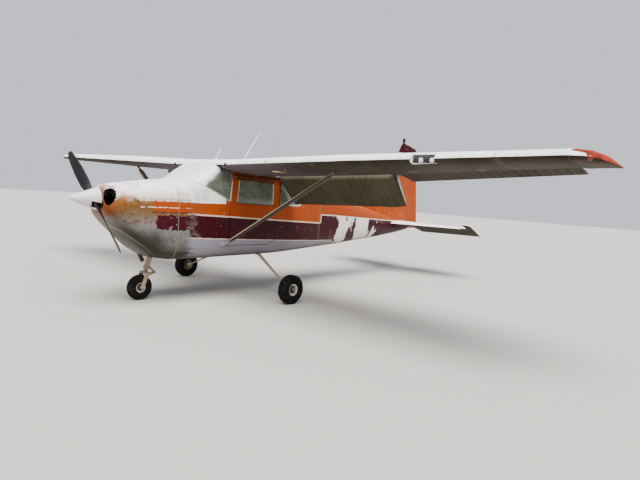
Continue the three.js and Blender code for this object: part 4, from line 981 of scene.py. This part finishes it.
def wing_fittings(word, side):
    """Fuel cap, root vent, access covers below, position light, and the left wing's stall warning inlet."""
    node = f"wing_{word}"
    tree = surface_of(node)
    steel = worn_paint("Fuel cap, plated steel", "a9a49c", "5d5750", 0.03, (0.5, 0.7), 0.35, 0.8)
    dark = rubber("Root vent, moulded rubber", "141414", "2a2622")
    spot, normal = meet(tree, on_panel(side, 1.02, 0.62, 0.5), (0, 0, -1))
    foot = spot - normal * SINK
    rings = [ring("cap", foot, normal, 0.028, 0.048, 0.006), disc("lid", foot, normal, 0.026, 0.010)]
    carry(join_pieces(f"fuel_cap_{word}", rings), node, steel)
    spot, normal = meet(tree, on_panel(side, 0.2, 0.09, 0.0), (1, 0, 0))
    foot = spot - normal * 0.006
    vent = [ring("lip", foot, normal, 0.017, 0.022, 0.009), disc("hole", foot, normal, 0.017, 0.007)]
    carry(join_pieces(f"root_vent_{word}", vent), node, dark)
    if side < 0:
        spot, normal = meet(tree, (FIREWALL, -1.48, 2.03), (1, 0, 0))
        carry(disc("stall_warning_inlet", spot - normal * 0.003, normal, 0.014, 0.005, 24), node, dark)
    covers = []
    for y in (0.8, 1.7, 2.75, 3.6):
        spot, normal = meet(tree, on_panel(side, 1.35, y, -0.6), (0, 0, 1))
        covers.append(disc("cover", spot - normal * SINK, normal, 0.055, 0.004, 32))
    below_tone = worn_paint("Inspection cover, painted", "5a534c", "3d3833", 0.03)
    carry(join_pieces(f"inspection_covers_{word}", covers), node, below_tone)
    tip = surface_of(f"wing_tip_{word}")
    spot, normal = meet(tip, on_panel(side, 0.3, 4.80, -0.02), (1, 0, 0))
    label, tint = ("Lamp glass, red", "8f1a12") if side < 0 else ("Lamp glass, green", "12502c")
    glow = acrylic(label, tint, 0.1, 0.5, 0.1)
    dome = disc("dome", spot - normal * 0.006, normal, 0.024, 0.026, 24)
    carry(join_pieces(f"position_light_{word}", [dome]), f"wing_tip_{word}", glow)


class AIRCRAFT_OT_lamps(Operator):
    """Two landing lamps in their bay in the left wing's nose, behind a clear cover"""

    bl_idname = "aircraft.lamps"
    bl_label = "Landing lamps"

    def execute(self, context):
        node = "landing_light"
        bm = bmesh.new()
        bm.from_mesh(frame["nodes"][node].data)
        bmesh.ops.remove_doubles(bm, verts=bm.verts, dist=WELD)
        inner = [face for face in bm.faces if face.normal.x > 0.6 or abs(face.normal.y) > 0.5]
        bmesh.ops.delete(bm, geom=inner, context="FACES")
        cover = from_bmesh("landing_lamp_cover", bm, 40)
        clear, tree, shader = new_material("Cast acrylic, clear", Roughness=0.08, IOR=1.49, Alpha=0.1)
        place, _ = place_of(tree)
        scratches = blotches(tree, place, 0.03, 0.5, 0.8)
        tree.links.new(coat(tree, "9fa2a2", "6d6f6c", scratches), shader.inputs["Base Color"])
        carry(cover, node, clear)
        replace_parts(cover, node)

        low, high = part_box(node)
        matt = worn_paint("Lamp bay, matt black", "171614", "292620", 0.05, roughness=0.85)
        # The lamps are painted plain white: a painted reflection of the sky in their silvered bowls
        painted_lamp_reflection = worn_paint("Lamp glass over silvered bowl", "ffffff", "e6e6e0", 0.02, (0.6, 0.7), 0.3)
        steel = worn_paint("Lamp ring, plated steel", "4a4742", "2d2a26", 0.02, (0.5, 0.7), 0.4, 0.7)
        back = high.x - 0.004
        corners = (back - 0.003, low.y + 0.004, low.z + 0.016), (back, high.y - 0.004, high.z - 0.01)
        carry(block("lamp_bay_back", *corners, 0.001), "wing_left", matt)
        # Both lamps sit in the lower half of the bay and look down a little
        aim, height = Vector((-1, 0, -0.2)).normalized(), low.z + (high.z - low.z) * 0.4
        lamps, bezels = [], []
        for y in (high.y - 0.109, low.y + 0.05):
            foot = Vector((back - 0.004, y, height))
            lamps.append(disc("lamp", foot, aim, 0.027, 0.022, 32))
            bezels.append(ring("bezel", foot, aim, 0.0272, 0.032, 0.018, 32))
        carry(join_pieces("landing_lamps", lamps), "wing_left", painted_lamp_reflection)
        carry(join_pieces("landing_lamp_rings", bezels), "wing_left", steel)
        return {"FINISHED"}


class AIRCRAFT_OT_struts(Operator):
    """Lift struts, gear legs, nose strut and fork in cream paint"""

    bl_idname = "aircraft.struts"
    bl_label = "Struts and legs"

    def execute(self, context):
        base = context.scene.aircraft_colours.struts
        # The struts' lower faces are painted darker: painted shade
        cream = worn_paint(
            "Strut enamel on steel", base, "7d715f", 0.05, (0.64, 0.7), painted_shade_below="3c342b"
        )
        legs = worn_paint("Gear enamel on spring steel", base, "6e6353", 0.05, (0.6, 0.68))
        for node in ("strut_left", "strut_right", "pitot_tube"):
            skin_of(node, cream, 50)
        for node in ("main_leg_left", "main_leg_right", "nose_strut", "nose_fork"):
            skin_of(node, legs, 50)
        nose_links(legs)
        return {"FINISHED"}


def nose_links(material):
    """The collar and the two scissor links that turn with the nose fork."""
    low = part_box("nose_strut")[0]
    foot = Vector((low.x + 0.038, 0, low.z + 0.012))
    lean = Vector((0.2778, 0, 0.9606))
    collar = ring("collar", foot + lean * 0.018, lean, 0.0386, 0.047, 0.03, 28)
    pieces = [collar]
    knee = foot + lean * -0.05 + Vector((0.15, 0, 0.0))
    for start in (foot + lean * 0.03 + Vector((0.045, 0, 0)), foot - lean * 0.1 + Vector((0.03, 0, 0))):
        along = knee - start
        turn = along.to_track_quat("X", "Z").to_matrix()
        for y in (-0.018, 0.018):
            middle = (start + knee) / 2 + Vector((0, y, 0))
            half = Vector((along.length / 2 + 0.01, 0.004, 0.013))
            pieces.append(block("link", middle - half, middle + half, 0.003, turn))
    pieces.append(disc("pin", knee - Vector((0, 0.026, 0)), (0, 1, 0), 0.009, 0.052, 16))
    carry(join_pieces("scissor_links", pieces), "nose_fork", material)


class AIRCRAFT_OT_tail(Operator):
    """Fin, rudder, stabilizer, elevator and beacon"""

    bl_idname = "aircraft.tail"
    bl_label = "Tail"

    def execute(self, context):
        colours, sizes = context.scene.aircraft_colours, context.scene.aircraft_sizes
        orange = tail_paint("Tail enamel on sheet", colours, sizes)
        for node in ("fin", "rudder"):
            skin_of(node, orange)
        skin_of("stabilizer", wing_paint("Stabilizer enamel", colours, sizes))
        skin_of("elevator", wing_paint("Elevator enamel on beaded sheet", colours, sizes, 0.09))
        dome = worn_paint("Moulded red polycarbonate", "4a1512", "1f1010", 0.03, (0.4, 0.7), 0.25)
        skin_of("beacon", dome)
        return {"FINISHED"}


class AIRCRAFT_OT_wheels(Operator):
    """Tyres with round grooves, rims with bolts, brake discs and axle nuts"""

    bl_idname = "aircraft.wheels"
    bl_label = "Wheels"

    def execute(self, context):
        tyre_rubber = rubber("Vulcanised rubber")
        steel = worn_paint("Zinc-plated steel", "6b6862", "37342f", 0.02, (0.5, 0.7), 0.4, 0.8)
        grooves = context.scene.aircraft_sizes.tread_grooves
        for node in ("main_tyre_left", "main_tyre_right", "nose_tyre"):
            tyre(node, tyre_rubber, grooves)
            rim_node = node.replace("tyre", "rim")
            label = f"Cast magnesium, painted, {rim_node.replace('_', ' ')}"
            skin_of(rim_node, rim_paint(label, rim_node))
            wheel_bolts(rim_node, steel)
        for word, side in SIDES:
            brake(word, side, steel)
        return {"FINISHED"}


def tyre(node, material, grooves):
    """A tyre whose tread has grooves and whose sidewall has a raised ring."""
    low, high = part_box(node)
    centre = (low + high) / 2
    radius, half = (high.z - low.z) / 2, (high.y - low.y) / 2
    inner = (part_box(node.replace("tyre", "rim"))[1].z - centre.z) + 0.0003
    # Share of the way from bead to tread, and share of the half width
    side = [
        (0, 0.72), (0.1, 0.86), (0.2, 0.94), (0.34, 0.985), (0.5, 1.0),
        (0.6, 0.985), (0.62, 0.965), (0.78, 0.9),
    ]
    side += [(0.88, 0.78), (0.95, 0.62)]
    profile = [(inner + (radius - inner) * out, half * wide) for out, wide in side]
    tread, depth, lip, floor = [], 0.005, 0.004, 0.0025
    for k in range(grooves):
        middle = half * 0.5 * (1 - 2 * (k + 0.5) / grooves)
        crown = radius - 0.008 * abs(middle / half)
        tread += [
            (crown, middle + lip),
            (crown - depth, middle + floor),
            (crown - depth, middle - floor),
            (crown, middle - lip),
        ]
    rows = profile + tread + [(r, -w) for r, w in reversed(profile)]
    rows.append(rows[0])
    bm, _ = turned(rows, centre, centre + Vector((0, 1, 0)), 96)
    bmesh.ops.remove_doubles(bm, verts=bm.verts, dist=1e-6)
    bmesh.ops.recalc_face_normals(bm, faces=bm.faces)
    made = carry(from_bmesh(f"{node}_rubber", bm, 35), node, material)
    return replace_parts(made, node)


def wheel_bolts(node, material):
    """Six bolt heads on the outer face of a rim."""
    low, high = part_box(node)
    centre = (low + high) / 2
    radius = (high.z - low.z) / 2
    outward = -1 if "left" in node or "nose" in node else 1
    face = centre.y + outward * (high.y - low.y) / 2 * 0.5
    pieces = []
    bolts = 6
    for k in range(bolts):
        angle = 2 * math.pi * k / bolts
        spot = (
            centre.x + radius * 0.5 * math.cos(angle), face, centre.z + radius * 0.5 * math.sin(angle)
        )
        pieces.append(disc("bolt", spot, (0, outward, 0), radius * 0.08, 0.008, 6))
    return carry(join_pieces(f"{node}_bolts", pieces), node, material)


def brake(word, side, steel):
    """The disc turns with the wheel, its caliper and the axle nut stay with the leg."""
    low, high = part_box(f"main_rim_{word}")
    centre = (low + high) / 2
    half = (high.y - low.y) / 2
    inside = centre.y - side * half * 0.96
    plate = ring("brake_disc", (centre.x, inside, centre.z), (0, side, 0), 0.05, 0.078, 0.005, 40)
    carry(join_pieces(f"brake_disc_{word}", [plate]), f"main_rim_{word}", steel)
    ends = sorted((inside - side * 0.026, inside - side * 0.006))
    caliper = block(
        "caliper", (centre.x - 0.09, ends[0], centre.z - 0.028), (
            centre.x - 0.04, ends[1], centre.z + 0.028
        ), 0.005
    )
    arm_ends = sorted((inside - side * 0.024, inside - side * 0.012))
    arm = block(
        "caliper_arm", (centre.x - 0.06, arm_ends[0], centre.z - 0.014), (
            centre.x, arm_ends[1], centre.z + 0.014
        ), 0.003
    )
    carry(join_pieces(f"brake_caliper_{word}", [caliper, arm]), f"main_leg_{word}", steel)
    leg_low, leg_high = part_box(f"main_leg_{word}")
    end = leg_low.y if side < 0 else leg_high.y
    nut = disc("axle_nut", (centre.x, end - side * 0.012, centre.z), (0, side, 0), 0.026, 0.011, 6)
    carry(join_pieces(f"axle_nut_{word}", [nut]), f"main_leg_{word}", steel)


class AIRCRAFT_OT_propeller(Operator):
    """Propeller, spinner and the spinner's screws"""

    bl_idname = "aircraft.propeller"
    bl_label = "Propeller"

    def execute(self, context):
        black = worn_paint("Matt black on forged aluminium", "131214", "3a2522", 0.1, (0.55, 0.75), 0.5)
        skin_of("propeller", black, 60)
        pale = worn_paint("Spinner, spun aluminium, painted", "dcd3d6", "aea3a3", 0.12, (0.5, 0.75), 0.3)
        skin_of("spinner", pale, 40)
        low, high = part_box("spinner")
        centre = (low + high) / 2
        radius = (high.z - low.z) / 2
        tree = surface_of("spinner")
        pieces = []
        screws = 16
        for k in range(screws):
            angle = 2 * math.pi * (k + 0.5) / screws
            ray = Vector((0, math.cos(angle), math.sin(angle)))
            start = Vector((high.x - 0.012, centre.y, centre.z)) + ray * radius * 2
            spot, normal, _, _ = tree.ray_cast(start, -ray)
            if spot and (spot - start).length < radius * 1.2:
                pieces.append(disc("screw", spot - normal * 0.001, normal, 0.005, 0.0025, 10))
        steel = worn_paint("Screw, plated steel", "77736c", "45413c", 0.02, (0.5, 0.7), 0.4, 0.8)
        carry(join_pieces("spinner_screws", pieces), "spinner", steel)
        return {"FINISHED"}


class AIRCRAFT_OT_engine(Operator):
    """Engine block with cooling fins behind the inlets, and exhaust stack"""

    bl_idname = "aircraft.engine"
    bl_label = "Engine"

    def execute(self, context):
        iron = worn_paint("Cast iron, oily", "2c2a28", "403830", 0.08)
        skin_of("engine_block", iron)
        low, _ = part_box("engine_block")
        count, lowest, pitch, thickness = 10, 1.36, 0.014, 0.004
        fins = []
        for _, side in SIDES:
            ends = sorted((side * 0.16, side * 0.33))
            for k in range(count):
                height = lowest + pitch * k
                corners = (low.x - 0.05, ends[0], height), (low.x + 0.01, ends[1], height + thickness)
                fins.append(block("fin", *corners, 0.001))
        cast = worn_paint("Cylinder fins, cast aluminium", "77736c", "4a443c", 0.04, (0.5, 0.7), 0.5, 0.5)
        carry(join_pieces("cylinder_fins", fins), "engine_block", cast)
        pipe = worn_paint("Steel pipe, heat-stained", "4a3f38", "7a4a2e", 0.03, (0.5, 0.7), 0.6, 0.6)
        skin_of("exhaust_stack", pipe)
        return {"FINISHED"}


class AIRCRAFT_OT_seats(Operator):
    """Front seats and rear bench: stuffed cushions on steel frames"""

    bl_idname = "aircraft.seats"
    bl_label = "Seats"

    def execute(self, context):
        cloth = woven_cloth("Woven wool seat cloth", "54483b", "2f2822")
        steel = worn_paint("Seat frame, painted steel", "3a3936", "5b5048", 0.03)
        for node, channels in (("seat_left", 3), ("seat_right", 3), ("rear_bench", 6)):
            seat(node, cloth, channels)
            seat_frame(node, steel)
        return {"FINISHED"}


def pad(low, high, crown):
    """A block of foam: its top is crowned and its sides pull in between the corners."""
    size = high - low
    bm = bmesh.new()
    bmesh.ops.create_cube(bm, size=2)
    bmesh.ops.subdivide_edges(bm, edges=bm.edges, cuts=15, use_grid_fill=True)
    for vert in bm.verts:
        u, v, w = vert.co
        waist = 1 - 0.06 * (1 - w * w)
        share = Vector((u * waist + 1, v * waist + 1, w + 1)) / 2
        vert.co = low + Vector([reach * part for reach, part in zip(size, share)])
        vert.co.z += crown * (1 - u**4) * (1 - v**6) * max(w, 0) - crown * (u**8 + v**8) * max(w, 0) * 0.5
    return bm


def seat(node, material, channels):
    """The seat's cushion and raked back, with channels sewn from front to rear and from top to bottom."""
    low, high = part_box(node)
    inset, crown = 0.012, 0.018
    base = low.z + CUSHION_FOOT
    cushion = pad(
        Vector((low.x + inset, low.y + inset, base)),
        Vector((low.x + CUSHION_LENGTH, high.y - inset, base + CUSHION_DEPTH - crown)),
        crown,
    )
    foot = Vector((low.x + CUSHION_LENGTH - 0.045, 0, base + 0.06))
    rake = math.atan2(high.x - 0.05 - foot.x, high.z - foot.z)
    tall = (high.z - foot.z) / math.cos(rake) - 0.03
    back = pad(Vector((0, low.y + inset, -0.035)), Vector((tall, high.y - inset, 0.03)), crown)
    back.transform(Matrix.Translation(foot) @ Matrix.Rotation(rake - math.pi / 2, 4, "Y"))
    parts = [from_bmesh(f"{node}_{k}", bm, 180) for k, bm in enumerate((cushion, back))]
    made = join_pieces(f"{node}_padding", parts)
    stuffed(made, 0.012)
    sew(made, low.y, (high.y - low.y) / channels)
    made.modifiers.new("Smooth cover", "SUBSURF").render_levels = 1
    keep_result(made)
    made.data.shade_smooth()
    carry(made, node, material)
    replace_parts(made, node)
    return made


def keep_result(made):
    """Replaces a mesh by what its modifiers make of it."""
    shown = made.evaluated_get(bpy.context.evaluated_depsgraph_get())
    made.data = bpy.data.meshes.new_from_object(shown)
    made.modifiers.clear()


def stuffed(made, most, voxel=0.012, frames=20):
    """Swells a pad by pressure from inside, with no point moved further than a limit in metres."""
    even = made.modifiers.new("Even faces", "REMESH")
    even.mode, even.voxel_size = "VOXEL", voxel
    keep_result(made)
    start = [vert.co.copy() for vert in made.data.vertices]
    cover = made.modifiers.new("Cover", "CLOTH")
    cover.settings.use_pressure = True
    cover.settings.uniform_pressure_force = 4
    cover.settings.effector_weights.gravity = 0
    for number in range(1, frames + 1):
        bpy.context.scene.frame_set(number)
    keep_result(made)
    for vert, old in zip(made.data.vertices, start):
        moved = vert.co - old
        if moved.length > most:
            vert.co = old + moved * (most / moved.length)
    bpy.context.scene.frame_set(1)


def sew(made, edge, pitch, depth=0.011, width=0.009):
    """Pulls the cover in along seams that run at a pitch across the seat."""
    made.data.update()
    for vert in made.data.vertices:
        share = ((vert.co.y - edge) / pitch) % 1
        seam = min(share, 1 - share) * pitch
        near_side = abs(vert.normal.y) > 0.6
        if not near_side:
            vert.co -= vert.normal * depth * math.exp(-((seam / width) ** 2))


def seat_frame(node, material):
    """Two floor rails and four legs below the cushion."""
    low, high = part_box(node)
    top = low.z + CUSHION_FOOT - 0.004
    pieces = []
    for y in (low.y + 0.11, high.y - 0.11):
        pieces.append(
            block(
                "rail", (low.x + 0.06, y - 0.012, low.z), (low.x + 0.4, y + 0.012, low.z + 0.024), 0.003
            ),
        )
        pieces.append(
            block("side", (low.x + 0.06, y - 0.012, top - 0.03), (low.x + 0.4, y + 0.012, top), 0.003)
        )
        for x in (low.x + 0.08, low.x + 0.38):
            bm, rings = turned(
                [(0.011, 0), (0.011, top - low.z - 0.03)], (x, y, low.z + 0.01), (x, y, top), 16
            )
            pieces.append(from_bmesh("leg", close_ends(bm, rings), 50))
    return carry(join_pieces(f"{node}_frame", pieces), node, material)


class AIRCRAFT_OT_cockpit(Operator):
    """Instrument panel with its dials, and the control wheels"""

    bl_idname = "aircraft.cockpit"
    bl_label = "Cockpit"

    def execute(self, context):
        black = worn_paint("Wrinkle-finish black paint", "1c1c1d", "343331", 0.02, (0.4, 0.7), 0.7)
        for node in ("instrument_panel", "yoke_left", "yoke_right"):
            skin_of(node, black)
        dials(worn_paint("Dial glass over black card", "0d0e0f", "3e4240", 0.02, (0.5, 0.6), 0.12))
        return {"FINISHED"}


def dials(material):
    """Two rows of round dials on the rear face of the panel."""
    face, sunk, radius, thickness = FIREWALL + 0.4255, 0.001, 0.042, 0.007
    pieces = []
    for y in (-0.38, -0.27, -0.16, 0.08, 0.19, 0.30):
        for z in (1.34, 1.46):
            pieces.append(disc("dial", (face - sunk, y, z), (1, 0, 0), radius, thickness, 28))
    return carry(join_pieces("panel_dials", pieces), "instrument_panel", material)


class AIRCRAFT_OT_fittings(Operator):
    """Whip aerials and door handles"""

    bl_idname = "aircraft.fittings"
    bl_label = "Fittings"

    def execute(self, context):
        white = worn_paint("Glass-fibre whip, white", "eceae6", "b4b0aa", 0.05)
        skin_of("aerial_front", white)
        skin_of("aerial_rear", white)
        steel = worn_paint("Door handle, chromed", "a7a4a0", "6a6661", 0.02, (0.5, 0.7), 0.25, 0.9)
        for word, side in SIDES:
            tree = surface_of(f"door_{word}")
            spot, normal = meet_side(tree, 1.66, 1.2, side)
            boss = disc("boss", spot - normal * SINK, normal, 0.02, 0.014, 24)
            reach = sorted((spot.y + side * 0.008, spot.y + side * 0.02))
            lever = block(
                "lever",
                (spot.x - 0.12, reach[0], spot.z - 0.009),
                (spot.x + 0.014, reach[1], spot.z + 0.009),
                0.004,
            )
            carry(join_pieces(f"door_handle_{word}", [boss, lever]), f"door_{word}", steel)
        return {"FINISHED"}


class AIRCRAFT_OT_stage(Operator):
    """Pale floor, soft light and the camera at the photograph's viewpoint"""

    bl_idname = "aircraft.stage"
    bl_label = "Stage"

    def execute(self, context):
        scene = context.scene
        bm = bmesh.new()
        bmesh.ops.create_grid(bm, x_segments=1, y_segments=1, size=60)
        floor = from_bmesh("floor", bm)
        material, _, shader = new_material("Pale concrete, trowelled", Roughness=0.9)
        shader.inputs["Base Color"].default_value = linear("aeaaa2")
        floor.data.materials.append(material)

        sky = bpy.data.worlds.new("Overcast sky")
        sky.use_nodes = True
        background = sky.node_tree.nodes["Background"]
        background.inputs["Color"].default_value = linear("dcdee8")
        background.inputs["Strength"].default_value = 1.15
        scene.world = sky
        sun = bpy.data.objects.new("soft_key", bpy.data.lights.new("soft_key", "SUN"))
        sun.data.energy, sun.data.angle = 8.5, math.radians(50)
        sun.rotation_euler = (math.radians(16), math.radians(-14), 0)
        scene.collection.objects.link(sun)

        camera = bpy.data.objects.new("camera", bpy.data.cameras.new("camera"))
        camera.data.sensor_width = 36
        camera.data.lens = CAMERA_FOCAL
        camera.matrix_world = camera_matrix()
        scene.collection.objects.link(camera)
        scene.camera = camera
        return {"FINISHED"}


def camera_matrix():
    """Turns the viewpoint's angles into the camera's place and direction."""
    yaw, pitch, roll = (math.radians(angle) for angle in (CAMERA_YAW, CAMERA_PITCH, CAMERA_ROLL))
    ahead = Vector((math.cos(pitch) * math.cos(yaw), math.cos(pitch) * math.sin(yaw), math.sin(pitch)))
    side = ahead.cross(Vector((0, 0, 1))).normalized()
    up = side.cross(ahead)
    right = side * math.cos(roll) + up * math.sin(roll)
    top = -side * math.sin(roll) + up * math.cos(roll)
    turn = Matrix((right, top, -ahead)).transposed().to_4x4()
    return Matrix.Translation(Vector((FIREWALL, 0, 0)) + Vector(CAMERA_PLACE)) @ turn


OPERATORS = (
    AIRCRAFT_OT_fuselage,
    AIRCRAFT_OT_glass,
    AIRCRAFT_OT_wings,
    AIRCRAFT_OT_lamps,
    AIRCRAFT_OT_struts,
    AIRCRAFT_OT_tail,
    AIRCRAFT_OT_wheels,
    AIRCRAFT_OT_propeller,
    AIRCRAFT_OT_engine,
    AIRCRAFT_OT_seats,
    AIRCRAFT_OT_cockpit,
    AIRCRAFT_OT_fittings,
    AIRCRAFT_OT_stage,
)


class AIRCRAFT_PT_build(Panel):
    """Buttons for the pieces, and their colours and sizes"""

    bl_idname = "AIRCRAFT_PT_build"
    bl_label = "Light aircraft"
    bl_space_type = "VIEW_3D"
    bl_region_type = "UI"
    bl_category = "Aircraft"

    def draw(self, context):
        for group in (context.scene.aircraft_colours, context.scene.aircraft_sizes):
            for key in group.__annotations__:
                self.layout.prop(group, key)
        for operator in OPERATORS:
            self.layout.operator(operator.bl_idname)


CLASSES = (AircraftColours, AircraftSizes, *OPERATORS, AIRCRAFT_PT_build)


def register():
    for item in CLASSES:
        bpy.utils.register_class(item)
    bpy.types.Scene.aircraft_colours = PointerProperty(type=AircraftColours)
    bpy.types.Scene.aircraft_sizes = PointerProperty(type=AircraftSizes)


def unregister():
    del bpy.types.Scene.aircraft_sizes
    del bpy.types.Scene.aircraft_colours
    for item in reversed(CLASSES):
        bpy.utils.unregister_class(item)


def main():
    """Builds every piece."""
    register()
    for operator in OPERATORS:
        group, name = operator.bl_idname.split(".")
        getattr(getattr(bpy.ops, group), name)()


if __name__ == "__main__":
    main()
